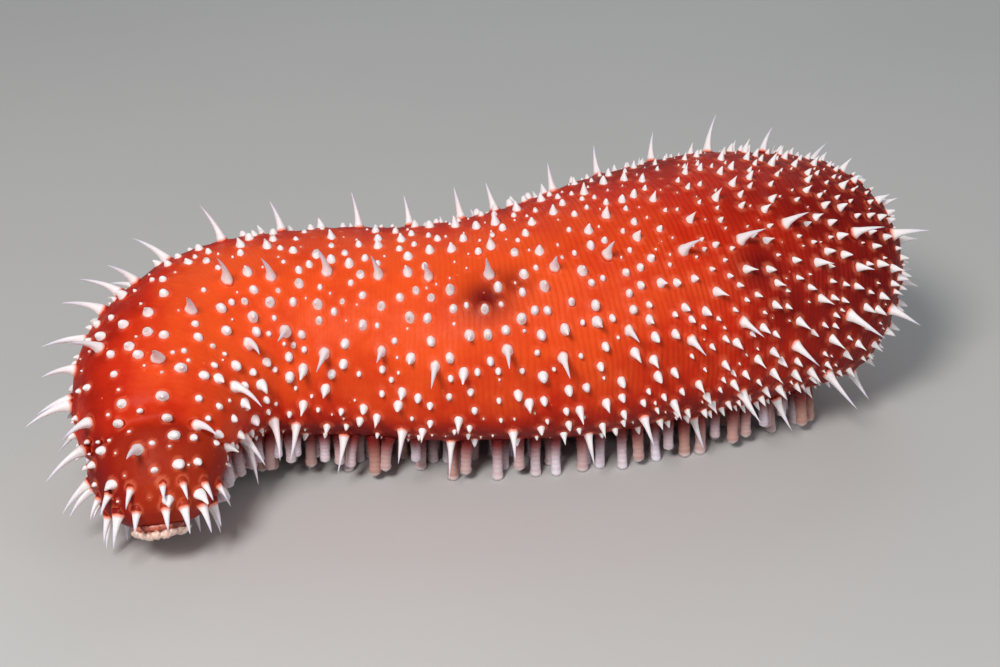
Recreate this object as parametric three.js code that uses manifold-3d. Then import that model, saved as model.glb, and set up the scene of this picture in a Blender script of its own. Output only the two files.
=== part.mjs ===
// White-spotted sea cucumber, life size, in millimetres, +Z up, resting on the plane Z = 0.
// The body is one swept form that bends from the mouth, at the left front, to the rear end, at the
// right back. It is parted into lengths by thin flat gaps square to its axis, and each length
// carries its own papillae and tube feet, fused to it.

import * as THREE from "three";
import Module from "manifold-3d";

const wasm = await Module();
wasm.setup();

// Body axis from the mouth to the rear: place of the axis, half width and half height there
const BODY_STATIONS = [
  { x: -93, y: -71.5, z: 10.5, halfWidth: 12.5, halfHeight: 11 },
  { x: -95, y: -64, z: 25, halfWidth: 18.5, halfHeight: 16.5 },
  { x: -98.5, y: -38, z: 38, halfWidth: 27, halfHeight: 24 },
  { x: -83, y: -10, z: 40.5, halfWidth: 31, halfHeight: 27 },
  { x: -55, y: -3, z: 39, halfWidth: 33, halfHeight: 28 },
  { x: -27, y: -2, z: 37.5, halfWidth: 34.5, halfHeight: 29 },
  { x: -0.5, y: -0.5, z: 38.5, halfWidth: 37, halfHeight: 31 },
  { x: 25.5, y: 7, z: 41, halfWidth: 41, halfHeight: 34 },
  { x: 50, y: 17, z: 43.5, halfWidth: 43, halfHeight: 36 },
  { x: 75, y: 27, z: 44, halfWidth: 42.5, halfHeight: 36 },
  { x: 99, y: 37.5, z: 41.5, halfWidth: 38, halfHeight: 32.5 },
  { x: 119, y: 49, z: 36, halfWidth: 27, halfHeight: 24.5 },
];

// Where the stations' frame lies in the part's own frame, so that the origin is under the middle
const BODY_SHIFT = { x: 0.35, y: 1.4 };

// Section: round above, flatter below, and how far each end rounds off along the axis
const ROUND_POWER = 2;
const SOLE_POWER = 2.7;
const ORAL_CAP = 9;
const REAR_CAP = 24;

// The head lobe turns its sole to one side, and a crease parts it from the body
const HEAD_TWIST = THREE.MathUtils.degToRad(-35);
const HEAD_TWIST_LENGTH = 52;
const CREASE_PLACE = 23;
const CREASE_WIDTH = 3;
const CREASE_DEPTH = 0.07;

// Lengths of the body along its axis, from the mouth, each a node of its own
const BODY_LENGTHS = [
  { name: "oral_end", start: 2.5, end: 31 },
  { name: "neck", start: 31, end: 74 },
  { name: "fore_body", start: 74, end: 124 },
  { name: "mid_body", start: 124, end: 178 },
  { name: "hind_body", start: 178, end: 236 },
  { name: "anal_end", start: 236, end: null },
];
const GAP = 0.3;
const OVERRUN = 1;
const RING_STEP = 7;
const RING_SIDES = 24;
const SHORTEST_STEP = 0.2;
const REAR_TIP = 0.6;
const VENT = { depth: 3.5, share: 0.45 };

// Rows of large papillae along the back and sides: angle at the neck in degrees, its drift per
// millimetre, how far every second one steps aside, and the first place and pitch along the axis.
// The last row stands on the head's far margin alone and ends early.
const LARGE_ROWS = [
  { angle: 20, drift: 0.13, zigzag: 0, start: 19, pitch: 16.6 },
  { angle: -30, drift: 0, zigzag: 2, start: 26, pitch: 17.2 },
  { angle: 64, drift: 0.12, zigzag: 4, start: 22, pitch: 16.2 },
  { angle: -74, drift: -0.05, zigzag: 4, start: 16, pitch: 17 },
  { angle: 126, drift: 0, zigzag: 10, start: 30, pitch: 15.6 },
  { angle: -126, drift: 0, zigzag: 10, start: 24, pitch: 16 },
  { angle: -52, drift: 0.55, zigzag: 3, start: 13, pitch: 9.5, end: 72 },
];
const ROW_ANGLE_PLACE = 50;
const ROW_JITTER = { along: 5, angle: 9 };
const ROW_END_MARGIN = 9;
const LARGE_PAPILLA = { sides: 5, radius: 2.5, height: 10, endHeight: 4, spread: 0.2 };
const LARGE_ENDS = { middle: 150, reach: 120 };

// Medium papillae in staggered rings between the rows
const MEDIUM_PAPILLA = { sides: 4, radius: 2.2, height: 3.8, spread: 0.3 };
const MEDIUM_EXTRA = { rear: 2.6, margin: 2.2 };
const MEDIUM_FIELD = { start: 12, endMargin: 7, halfAngle: 134, jitter: 0.34, keep: 1.3 };
const MEDIUM_PITCH = { front: 13.2, rear: 12 };
const MEDIUM_STAGGER = [0.75, 0.25];
const MEDIUM_CLEARANCE = 5.6;

// Papillae round the mouth's rim and round the vent
const RIM_PAPILLAE = { fromEnd: 6.5, count: 13, sides: 5, radius: 2, height: 9, forward: 1.5 };
const VENT_PAPILLAE = { fromEnd: 3.2, count: 8, sides: 4, radius: 1.5, height: 4.5, forward: 0 };
const END_TURN_JITTER = 0.3;
const END_HEIGHT_RANGE = { from: 0.8, by: 0.4 };

// Papillae: how deep they root, where they narrow, and how they bend over
const PAPILLA_ROOT = 1.6;
const PAPILLA_WAIST = { at: 0.34, share: 0.5 };
const BEND = { along: 0.55, droop: 0.55, middle: 150, reach: 90 };
const FLOOR_CLEARANCE = 0.7;
const TIGHTEST_SKIN = 0.3;
const CUT_MARGIN = 3;

// Tube feet in four rows along the sole: they stand on the floor, or hang free where the body is raised
const FOOT_ANGLES = [144, 165, -165, -144];
const FOOT_FIELD = { start: 15, endMargin: 22, pitch: 10.4, jitter: 2.4, angleJitter: 7 };
const FOOT = { sides: 5, rootRadius: 2.1, endRadius: 1.7, root: 1.5, splay: 0.45 };
const FOOT_LENGTH = { longest: 12.5, free: 9.5 };

// Mouth: a low disc in front of the oral end, with short tentacles round it
const MOUTH_SIDES = 16;
const MOUTH_DISC = [
  { out: -1, radius: 8.2 },
  { out: 1.6, radius: 8 },
  { out: 2.8, radius: 4.2 },
];
const TENTACLES = { count: 16, sides: 4, ring: 6.4, radius: 1.25, height: 5, lean: 0.7, bluntFrom: 0.7 };
const FLATTEST_LEAN = 0.1;

const SKIN_COLOUR = 0xd2401e;
const MOUTH_COLOUR = 0xf0c9b4;

// Fineness of the axis table and of the steps that measure the skin's slope
const AXIS_SAMPLES = 600;
const PLACE_STEP = 0.5;
const ANGLE_STEP = 0.02;

// Numbers that tell the things of one row from those of the next in the repeatable draws
const ROW_NUMBERS = 100;

// A ring whose direction is steeper than this takes its first point from another guide
const STEEP = 0.9;

const UP = new THREE.Vector3(0, 0, 1);
const DOWN = new THREE.Vector3(0, 0, -1);
const { clamp, degToRad, lerp } = THREE.MathUtils;

// Uniform cubic B-spline weights
function splineWeights(w) {
  const v = 1 - w;
  return [
    (v * v * v) / 6,
    (3 * w * w * w - 6 * w * w + 4) / 6,
    (-3 * w * w * w + 3 * w * w + 3 * w + 1) / 6,
    (w * w * w) / 6,
  ];
}

// A station's value by index, carried on past both ends by reflection
function stationValue(index, key) {
  const last = BODY_STATIONS.length - 1;
  if (index < 0) return 2 * BODY_STATIONS[0][key] - BODY_STATIONS[1][key];
  if (index > last) return 2 * BODY_STATIONS[last][key] - BODY_STATIONS[last - 1][key];
  return BODY_STATIONS[index][key];
}

// Smoothed value of one key at t, from 0 at the mouth to 1 at the rear
function smoothValue(t, key) {
  const spans = BODY_STATIONS.length - 1;
  const place = clamp(t, 0, 1) * spans;
  const first = Math.min(Math.floor(place), spans - 1);
  const weights = splineWeights(place - first);
  return weights.reduce((sum, weight, k) => sum + weight * stationValue(first - 1 + k, key), 0);
}

function axisPoint(t) {
  return new THREE.Vector3(
    smoothValue(t, "x") + BODY_SHIFT.x,
    smoothValue(t, "y") + BODY_SHIFT.y,
    smoothValue(t, "z"),
  );
}

// Running length along the axis at each sample
const axisLengths = [0];
for (let i = 1; i <= AXIS_SAMPLES; i += 1) {
  const step = axisPoint(i / AXIS_SAMPLES).distanceTo(axisPoint((i - 1) / AXIS_SAMPLES));
  axisLengths.push(axisLengths[i - 1] + step);
}
const BODY_LENGTH = axisLengths[AXIS_SAMPLES];
const REAR_END = BODY_LENGTH - REAR_TIP;

// Turns a length along the axis into t
function axisParameter(s) {
  const wanted = clamp(s, 0, BODY_LENGTH);
  let i = 1;
  while (i < AXIS_SAMPLES && axisLengths[i] < wanted) i += 1;
  const share = (wanted - axisLengths[i - 1]) / (axisLengths[i] - axisLengths[i - 1]);
  return (i - 1 + share) / AXIS_SAMPLES;
}

function smoothStep(x) {
  const c = clamp(x, 0, 1);
  return c * c * (3 - 2 * c);
}

// Axis frame at length s: along the body, the back's direction and the near side's direction
function axisFrame(s) {
  const t = axisParameter(s);
  const e = 0.5 / AXIS_SAMPLES;
  const centre = axisPoint(t);
  const along = axisPoint(Math.min(t + e, 1)).sub(axisPoint(Math.max(t - e, 0))).normalize();
  const back = UP.clone().addScaledVector(along, -along.dot(UP)).normalize();
  const side = new THREE.Vector3().crossVectors(along, back);
  const twist = HEAD_TWIST * (1 - smoothStep(s / HEAD_TWIST_LENGTH));
  back.applyAxisAngle(along, twist);
  side.applyAxisAngle(along, twist);
  return { t, centre, along, back, side };
}

// How far the section is drawn in at s by the rounded ends and the crease behind the head lobe
function drawIn(s) {
  const fromOral = Math.min(s / ORAL_CAP, 1);
  const fromRear = Math.min((BODY_LENGTH - s) / REAR_CAP, 1);
  const oral = Math.sqrt(Math.max(1 - (1 - fromOral) ** 2, 0));
  const rear = Math.sqrt(Math.max(1 - (1 - fromRear) ** 2, 0));
  const crease = 1 - CREASE_DEPTH * Math.exp(-(((s - CREASE_PLACE) / CREASE_WIDTH) ** 2));
  return oral * rear * crease;
}

// Point of the skin at length s and angle phi, 0 on the back and a quarter turn on the near side
function skinPoint(s, phi) {
  const { t, centre, back, side } = axisFrame(s);
  const sine = Math.sin(phi);
  const cosine = Math.cos(phi);
  const power = 2 / (cosine > 0 ? ROUND_POWER : SOLE_POWER);
  const inward = drawIn(s);
  const across = smoothValue(t, "halfWidth") * inward * Math.sign(sine) * Math.abs(sine) ** power;
  const upward = smoothValue(t, "halfHeight") * inward * Math.sign(cosine) * Math.abs(cosine) ** power;
  return centre.addScaledVector(side, across).addScaledVector(back, upward);
}

// Where something stands on the skin: the point, the outward normal and how packed the skin is
function skinPlace(s, phi) {
  const point = skinPoint(s, phi);
  const across = skinPoint(s, phi + ANGLE_STEP).sub(skinPoint(s, phi - ANGLE_STEP));
  const lengthwise = skinPoint(s + PLACE_STEP, phi).sub(skinPoint(s - PLACE_STEP, phi));
  const normal = new THREE.Vector3().crossVectors(across, lengthwise).normalize();
  const { centre, along } = axisFrame(s);
  if (normal.dot(point.clone().sub(centre)) < 0) normal.negate();
  return { point, normal, along, packing: lengthwise.length() / (2 * PLACE_STEP) };
}

// Repeatable draw from 0 to 1 for the nth thing of a kind
function draw(n, kind) {
  const wave = Math.sin(n * 12.9898 + kind * 78.233) * 43758.5453;
  return wave - Math.floor(wave);
}

// Keeps a place clear of the cuts between the lengths
function clearOfCuts(s) {
  for (const { start } of BODY_LENGTHS) {
    if (Math.abs(s - start) < CUT_MARGIN) return start + (s < start ? -CUT_MARGIN : CUT_MARGIN);
  }
  return s;
}

// Large papillae, row by row, longer towards both ends
function largePapillae() {
  const found = [];
  LARGE_ROWS.forEach(({ angle, drift, zigzag, start, pitch, end }, row) => {
    const count = Math.floor(((end ?? BODY_LENGTH - ROW_END_MARGIN) - start) / pitch) + 1;
    for (let k = 0; k < count; k += 1) {
      const n = row * ROW_NUMBERS + k;
      const s = clearOfCuts(start + k * pitch + (draw(n, 1) - 0.5) * ROW_JITTER.along);
      const turn = angle + drift * (s - ROW_ANGLE_PLACE) + (k % 2 ? zigzag : -zigzag);
      const phi = degToRad(turn + (draw(n, 2) - 0.5) * ROW_JITTER.angle);
      const ends = Math.min(Math.abs(s - LARGE_ENDS.middle) / LARGE_ENDS.reach, 1) ** 2;
      const spread = 1 + (draw(n, 3) * 2 - 1) * LARGE_PAPILLA.spread;
      const height = (LARGE_PAPILLA.height + LARGE_PAPILLA.endHeight * ends) * spread;
      if (skinPlace(s, phi).packing < TIGHTEST_SKIN) continue;
      found.push({ s, phi, sides: LARGE_PAPILLA.sides, radius: LARGE_PAPILLA.radius, height });
    }
  });
  return found;
}

// Medium papillae in staggered rings, left out where a large one stands or the skin is packed
function mediumPapillae(large) {
  const { start, endMargin, jitter, keep } = MEDIUM_FIELD;
  const halfAngle = degToRad(MEDIUM_FIELD.halfAngle);
  const taken = large.map(({ s, phi }) => skinPoint(s, phi));
  const found = [];
  let ring = 0;
  for (let s = start; s < BODY_LENGTH - endMargin; ring += 1) {
    const pitch = lerp(MEDIUM_PITCH.front, MEDIUM_PITCH.rear, s / BODY_LENGTH);
    const { t } = axisFrame(s);
    const halfSizes = smoothValue(t, "halfWidth") + smoothValue(t, "halfHeight");
    const count = Math.max(1, Math.round((halfSizes * drawIn(s) * halfAngle) / pitch));
    for (let j = 0; j < count; j += 1) {
      const n = ring * ROW_NUMBERS + j;
      const place = clearOfCuts(s + (draw(n, 4) - 0.5) * 2 * jitter * pitch);
      const share = (j + MEDIUM_STAGGER[ring % 2] + (draw(n, 5) - 0.5) * jitter) / count;
      const phi = halfAngle * (2 * share - 1);
      const { point, packing } = skinPlace(place, phi);
      const crowded = packing < TIGHTEST_SKIN || draw(n, 6) > packing * keep;
      if (crowded || taken.some((other) => other.distanceTo(point) < MEDIUM_CLEARANCE)) continue;
      const rear = MEDIUM_EXTRA.rear * smoothStep((place - BEND.middle) / BEND.reach);
      const margin = MEDIUM_EXTRA.margin * Math.sin(phi) ** 2;
      const spread = 1 + (draw(n, 7) * 2 - 1) * MEDIUM_PAPILLA.spread;
      const height = (MEDIUM_PAPILLA.height + rear + margin) * spread;
      found.push({ s: place, phi, sides: MEDIUM_PAPILLA.sides, radius: MEDIUM_PAPILLA.radius, height });
    }
    s += pitch;
  }
  return found;
}

// Papillae in a ring round one end of the body
function endPapillae({ count, sides, radius, height, forward }, s) {
  return Array.from({ length: count }, (_, k) => {
    const phi = (2 * Math.PI * (k + END_TURN_JITTER * draw(k, 8))) / count;
    const share = END_HEIGHT_RANGE.from + END_HEIGHT_RANGE.by * draw(k, 9);
    return { s, phi, sides, radius, height: height * share, forward };
  });
}

// Tube feet, row by row, each row stepped half a pitch from the last
function tubeFeet() {
  const found = [];
  const { start, endMargin, pitch, jitter, angleJitter } = FOOT_FIELD;
  FOOT_ANGLES.forEach((angle, row) => {
    const count = Math.floor((BODY_LENGTH - endMargin - start) / pitch);
    for (let k = 0; k < count; k += 1) {
      const n = row * ROW_NUMBERS + k;
      const step = k + (row % 2) / 2;
      const s = clearOfCuts(start + step * pitch + (draw(n, 10) - 0.5) * jitter);
      const phi = degToRad(angle + (draw(n, 11) - 0.5) * angleJitter);
      if (skinPlace(s, phi).packing < TIGHTEST_SKIN) continue;
      found.push({ s, phi });
    }
  });
  return found;
}

// A ring of points round a centre, square to a direction
function ringAround(centre, direction, radius, sides) {
  const guide = Math.abs(direction.z) < STEEP ? UP : new THREE.Vector3(1, 0, 0);
  const first = new THREE.Vector3().crossVectors(guide, direction).normalize();
  const second = new THREE.Vector3().crossVectors(direction, first).normalize();
  return Array.from({ length: sides }, (_, j) => {
    const angle = (2 * Math.PI * j) / sides;
    return centre
      .clone()
      .addScaledVector(first, radius * Math.cos(angle))
      .addScaledVector(second, radius * Math.sin(angle));
  });
}

// Closed solid over a row of rings with equal numbers of points, and a last point if one is given
function ringSolid(rings, tip = null) {
  const sides = rings[0].length;
  const points = tip ? [...rings.flat(), tip] : rings.flat();
  const faces = [];
  for (let i = 0; i < rings.length - 1; i += 1) {
    for (let j = 0; j < sides; j += 1) {
      const a = i * sides + j;
      const b = i * sides + ((j + 1) % sides);
      faces.push(a, b, a + sides, b, b + sides, a + sides);
    }
  }
  const last = (rings.length - 1) * sides;
  for (let j = 1; j < sides - 1; j += 1) {
    faces.push(0, j + 1, j);
    if (!tip) faces.push(last, last + j, last + j + 1);
  }
  if (tip) {
    for (let j = 0; j < sides; j += 1) faces.push(last + j, last + ((j + 1) % sides), last + sides);
  }
  return new wasm.Manifold(
    new wasm.Mesh({
      numProp: 3,
      vertProperties: new Float32Array(points.flatMap((point) => [point.x, point.y, point.z])),
      triVerts: new Uint32Array(faces),
    }),
  );
}

// Papilla that stands on the skin, narrows quickly, and bends towards the body's end and the floor
function papilla({ s, phi, sides, radius, height, forward = 0 }) {
  const { point, normal, along } = skinPlace(s, phi);
  const stem = normal.clone().addScaledVector(along, -forward).normalize();
  const towardsEnd = clamp((s - BEND.middle) / BEND.reach, -1, 1) * BEND.along;
  const droop = BEND.droop * Math.abs(Math.sin(phi));
  const over = stem.clone().addScaledVector(along, towardsEnd).addScaledVector(UP, -droop).normalize();
  const rise = PAPILLA_WAIST.at * stem.z + (1 - PAPILLA_WAIST.at) * over.z;
  const length = rise < 0 ? Math.min(height, (point.z - FLOOR_CLEARANCE) / -rise) : height;
  const knee = point.clone().addScaledVector(stem, length * PAPILLA_WAIST.at);
  const tip = knee.clone().addScaledVector(over, length * (1 - PAPILLA_WAIST.at));
  const root = point.clone().addScaledVector(normal, -PAPILLA_ROOT);
  const rings = [
    ringAround(root, normal, radius, sides),
    ringAround(knee, stem, radius * PAPILLA_WAIST.share, sides),
  ];
  return ringSolid(rings, tip);
}

// Tube foot from the sole down to a small flat on the floor, or hanging free with a flat end
function tubeFoot({ s, phi }) {
  const { point, normal } = skinPlace(s, phi);
  const direction = DOWN.clone().addScaledVector(normal, FOOT.splay).normalize();
  const toFloor = point.z / -direction.z;
  const stands = toFloor < FOOT_LENGTH.longest;
  const end = point.clone().addScaledVector(direction, stands ? toFloor : FOOT_LENGTH.free);
  const root = point.clone().addScaledVector(direction, -FOOT.root);
  return ringSolid([
    ringAround(root, direction, FOOT.rootRadius, FOOT.sides),
    ringAround(end, stands ? DOWN : direction, FOOT.endRadius, FOOT.sides),
  ]);
}

// Places of the rings between two lengths of the axis, closer where an end rounds off
function ringPlaces(start, end) {
  const places = [start];
  let s = start;
  for (;;) {
    const toEnd = Math.min(s / ORAL_CAP, (BODY_LENGTH - s) / REAR_CAP);
    const step = RING_STEP * clamp(toEnd, SHORTEST_STEP, 1);
    s += step;
    if (s > end - step / 2) break;
    places.push(s);
  }
  places.push(end);
  return places;
}

// The vent: the last ring drawn in and pushed back into the body
function ventRing(lastRing) {
  const inside = axisFrame(BODY_LENGTH - VENT.depth).centre;
  const middle = axisFrame(REAR_END).centre;
  return lastRing.map((point) => inside.clone().addScaledVector(point.clone().sub(middle), VENT.share));
}

// One length of the bare body, run past its limits where flat cuts will end it
function bareLength(start, end) {
  const rings = ringPlaces(start, end).map((s) => {
    const overrun = s === start ? -OVERRUN : s === end && end < REAR_END ? OVERRUN : 0;
    const { along } = axisFrame(s);
    return Array.from({ length: RING_SIDES }, (_, j) =>
      skinPoint(s, (2 * Math.PI * j) / RING_SIDES).addScaledVector(along, overrun),
    );
  });
  if (end >= REAR_END) rings.push(ventRing(rings.at(-1)));
  return ringSolid(rings);
}

// Cuts a solid flat across the axis, half a gap short of s, and keeps the part towards one end
function cutAcross(solid, s, keepRear) {
  const { centre, along } = axisFrame(s);
  const facing = keepRear ? along : along.clone().negate();
  return solid.trimByPlane([facing.x, facing.y, facing.z], facing.dot(centre) + GAP / 2);
}

// Joins pieces into one solid and keeps its largest closed surface
function fuse(pieces) {
  const parts = wasm.Manifold.union(pieces).decompose();
  return parts.reduce((largest, part) => (part.volume() > largest.volume() ? part : largest));
}

// The mouth's disc with its ring of short tentacles
function mouthSolid() {
  const { centre, along, back, side } = axisFrame(BODY_LENGTHS[0].start);
  const forward = along.clone().negate();
  const disc = MOUTH_DISC.map(({ out, radius }) =>
    Array.from({ length: MOUTH_SIDES }, (_, j) => {
      const phi = (2 * Math.PI * j) / MOUTH_SIDES;
      return centre
        .clone()
        .addScaledVector(forward, out)
        .addScaledVector(back, radius * Math.cos(phi))
        .addScaledVector(side, -radius * Math.sin(phi));
    }),
  );
  const tentacles = Array.from({ length: TENTACLES.count }, (_, k) => {
    const phi = (2 * Math.PI * k) / TENTACLES.count;
    const outward = back.clone().multiplyScalar(Math.cos(phi)).addScaledVector(side, Math.sin(phi));
    const root = centre.clone().addScaledVector(outward, TENTACLES.ring).addScaledVector(forward, GAP);
    const lean = forward.clone().addScaledVector(outward, TENTACLES.lean).normalize();
    const room = (root.z - FLOOR_CLEARANCE) / Math.max(-lean.z, FLATTEST_LEAN);
    const end = root.clone().addScaledVector(lean, Math.min(TENTACLES.height, room));
    return ringSolid(
      [
        ringAround(root, lean, TENTACLES.radius, TENTACLES.sides),
        ringAround(root.clone().lerp(end, TENTACLES.bluntFrom), lean, TENTACLES.radius, TENTACLES.sides),
      ],
      end,
    );
  });
  return fuse([ringSolid(disc), ...tentacles]);
}

function namedMesh(name, solid, colour) {
  const { vertProperties, triVerts } = solid.getMesh();
  const geometry = new THREE.BufferGeometry();
  geometry.setAttribute("position", new THREE.BufferAttribute(vertProperties, 3));
  geometry.setIndex(new THREE.BufferAttribute(triVerts, 1));
  geometry.computeVertexNormals();
  const material = new THREE.MeshStandardMaterial({ color: colour, roughness: 0.45, metalness: 0 });
  const mesh = new THREE.Mesh(geometry, material);
  mesh.name = name;
  return mesh;
}

const large = largePapillae();
const papillae = [
  ...large,
  ...mediumPapillae(large),
  ...endPapillae(RIM_PAPILLAE, RIM_PAPILLAE.fromEnd),
  ...endPapillae(VENT_PAPILLAE, BODY_LENGTH - VENT_PAPILLAE.fromEnd),
];
const feet = tubeFeet();

const seaCucumber = new THREE.Group();
for (const { name, start, end: cut } of BODY_LENGTHS) {
  const end = cut ?? REAR_END;
  const isHere = ({ s }) => s > start && (s < end || cut === null);
  const pieces = [...papillae.filter(isHere).map(papilla), ...feet.filter(isHere).map(tubeFoot)];
  let solid = cutAcross(fuse([bareLength(start, end), ...pieces]), start, true);
  if (cut !== null) solid = cutAcross(solid, end, false);
  seaCucumber.add(namedMesh(name, fuse([solid]), SKIN_COLOUR));
}
seaCucumber.add(namedMesh("mouth", cutAcross(mouthSolid(), BODY_LENGTHS[0].start, false), MOUTH_COLOUR));

export default seaCucumber;
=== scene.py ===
"""White-spotted sea cucumber: skin, papillae, tube feet and mouth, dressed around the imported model."""

import functools
import math

import bpy
import numpy as np
from bpy.props import FloatProperty, FloatVectorProperty, IntProperty, PointerProperty
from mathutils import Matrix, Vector
from mathutils.kdtree import KDTree


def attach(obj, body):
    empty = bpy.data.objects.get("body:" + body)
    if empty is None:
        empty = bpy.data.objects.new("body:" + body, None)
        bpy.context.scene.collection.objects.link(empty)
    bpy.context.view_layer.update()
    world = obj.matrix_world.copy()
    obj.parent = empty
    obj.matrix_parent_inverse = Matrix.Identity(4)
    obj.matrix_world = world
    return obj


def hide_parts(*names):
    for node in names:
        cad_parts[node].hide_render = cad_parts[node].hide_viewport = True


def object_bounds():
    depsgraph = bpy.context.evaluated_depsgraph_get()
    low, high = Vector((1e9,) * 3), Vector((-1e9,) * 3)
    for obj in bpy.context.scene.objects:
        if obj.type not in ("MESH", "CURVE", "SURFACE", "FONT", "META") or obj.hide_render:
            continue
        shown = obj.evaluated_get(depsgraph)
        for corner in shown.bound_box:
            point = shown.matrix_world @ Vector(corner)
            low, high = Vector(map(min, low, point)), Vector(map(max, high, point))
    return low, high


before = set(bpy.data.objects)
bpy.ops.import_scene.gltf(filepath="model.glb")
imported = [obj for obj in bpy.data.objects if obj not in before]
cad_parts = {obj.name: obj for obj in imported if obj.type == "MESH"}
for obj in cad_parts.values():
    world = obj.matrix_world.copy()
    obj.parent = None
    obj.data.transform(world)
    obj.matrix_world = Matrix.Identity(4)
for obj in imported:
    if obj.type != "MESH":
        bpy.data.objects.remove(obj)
CAD_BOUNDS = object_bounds()

bl_info = {
    "name": "Sea cucumber",
    "version": (1, 0, 0),
    "blender": (4, 5, 0),
    "location": "View3D > Sidebar > Sea cucumber",
    "description": "Builds a life-size sea cucumber with papillae, tube feet and a mouth",
    "category": "Add Mesh",
}

MM = 0.001
BODY = "root"
SKIN_NODES = ("oral_end", "neck", "fore_body", "mid_body", "hind_body", "anal_end")

# Body axis from the mouth to the rear: x, y, z of the axis, half width and half height, in millimetres
BODY_STATIONS = np.array([
    (-93, -71.5, 10.5, 12.5, 11),
    (-95, -64, 25, 18.5, 16.5),
    (-98.5, -38, 38, 27, 24),
    (-83, -10, 40.5, 31, 27),
    (-55, -3, 39, 33, 28),
    (-27, -2, 37.5, 34.5, 29),
    (-0.5, -0.5, 38.5, 37, 31),
    (25.5, 7, 41, 41, 34),
    (50, 17, 43.5, 43, 36),
    (75, 27, 44, 42.5, 36),
    (99, 37.5, 41.5, 38, 32.5),
    (119, 49, 36, 27, 24.5),
])
BODY_SHIFT = np.array([0.35, 1.4, 0.0])
ROUND_POWER = 2
SOLE_POWER = 2.7
ORAL_CAP = 9
REAR_CAP = 24
ORAL_START = 2.5
REAR_TIP = 0.6

# Head lobe: its sole turns to one side, and a crease parts it from the body
HEAD_TWIST = math.radians(-35)
HEAD_TWIST_LENGTH = 52
CREASE_PLACE = 23
CREASE_WIDTH = 3
CREASE_DEPTH = 0.07

# Cuts between the lengths of the solids, and how far things stay clear of them
CUTS = (2.5, 31, 74, 124, 178, 236)
CUT_MARGIN = 3

# Rows of large papillae: angle, drift, zigzag, start, pitch, and the end where it isn't the body's
LARGE_ROWS = (
    (20, 0.13, 0, 19, 16.6, None),
    (-30, 0, 2, 26, 17.2, None),
    (64, 0.12, 4, 22, 16.2, None),
    (-74, -0.05, 4, 16, 17, None),
    (126, 0, 10, 30, 15.6, None),
    (-126, 0, 10, 24, 16, None),
    (-52, 0.55, 3, 13, 9.5, 72),
)
ROW_ANGLE_PLACE = 50
ROW_JITTER_ALONG = 5
ROW_JITTER_ANGLE = 9
ROW_END_MARGIN = 9
LARGE_RADIUS = 2.1
LARGE_HEIGHT = 10
LARGE_END_HEIGHT = 4
LARGE_SPREAD = 0.2
LARGE_MIDDLE = 150
LARGE_REACH = 120

# Medium papillae in staggered rings
MEDIUM_RADIUS = 1.95
MEDIUM_HEIGHT = 2.9
MEDIUM_SPREAD = 0.3
MEDIUM_REAR_HEIGHT = 1.5
MEDIUM_MARGIN_HEIGHT = 1.6
MEDIUM_START = 12
MEDIUM_END_MARGIN = 7
MEDIUM_FRONT_PITCH = 13.2
MEDIUM_REAR_PITCH = 12
MEDIUM_HALF_ANGLE = math.radians(134)
MEDIUM_JITTER = 0.34
MEDIUM_STAGGER = (0.75, 0.25)
MEDIUM_KEEP = 1.3
MEDIUM_CLEARANCE = 5.6

# Rings round the mouth and the vent: count, radius, height, lean forward and place along the axis
RIM_RINGS = ((13, 2, 9, 1.5, 6.5), (14, 1.7, 6.5, 0.9, 11))
VENT_RING = (8, 1.5, 4.5, 0)
VENT_RING_FROM_END = 3.2
END_TURN_JITTER = 0.3
END_HEIGHTS = (0.8, 0.4)

# Smaller papillae between the rest: pitch, radii, heights, share kept and first kind of draw
SMALL_FILL = (6.3, (1.0, 1.85), (1.1, 2.3), 0.9, 61)
TINY_FILL = (5.2, (0.45, 0.8), (0.5, 0.9), 0.4, 71)
FILL_START = 9
FILL_END_MARGIN = 5
FILL_HALF_ANGLE = math.radians(140)
FILL_JITTER = 0.5
FILL_SPACE = 0.6
FILL_CLOSER = 0.22
FILL_REAR = 0.45
FILL_MARGIN = 0.35
FILL_ROW_SHARE = 0.8
FILL_ROWS_NEAR = 3

# Bend of the papillae towards the ends and the floor, and how they are made
WAIST_AT = 0.34
BEND_ALONG = 0.55
BEND_DROOP = 0.55
BEND_MIDDLE = 150
BEND_REACH = 90
FLOOR_CLEARANCE = 0.7
TIGHTEST_SKIN = 0.3
ROOT_DEPTH = 0.8
OVAL = 0.2
BOX_MARGIN = 0.02
UNEVEN = (0.05, 0.03, 0.03)

# Where papillae are pointed: towards the rear, and this far round from the back's roundest side
SHARP_PLACE = 165
SHARP_REACH = 55
ROUND_SIDE = math.radians(30)
ROUND_HALF_WIDTH = 1.0
ROUND_FADE = 0.6
SHARP_MARGIN = 0.7

# Tube feet: angles and first steps of the rows that the solids have, and of those in between
FOOT_ROWS = ((144, 0), (165, 0.5), (-165, 0), (-144, 0.5))
EXTRA_FOOT_ROWS = (
    (144, 0.5), (154, 0.25), (165, 0), (-165, 0), (-154, 0.25), (-144, 0), (180, 0.1), (176, 0.6),
)
EXTRA_FOOT_SHARE = 0.85
FOOT_START = 15
FOOT_END_MARGIN = 22
FOOT_PITCH = 10.4
FOOT_JITTER = 2.4
FOOT_ANGLE_JITTER = 7
FOOT_LONGEST = 12.5
FOOT_FREE = 9.5
FOOT_SPLAY = 0.45
FOOT_ROOT = 1.2
FOOT_RADIUS = 1.55
FOOT_RADIUS_RANGE = 0.35
STANDING_SWAY = 1.6
HANGING_SWAY = 3.0
HANGING_CLEARANCE = 0.3
HANGING_LEVEL = 0.4
HANGING_END_SWAY = 0.8
FOOT_SETTLE_FROM = 0.75
FOOT_ROUND_FROM = 0.86
FOOT_ROUNDING = 0.145
FOOT_THINNEST = 0.15
FOOT_STEPS = 16

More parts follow.
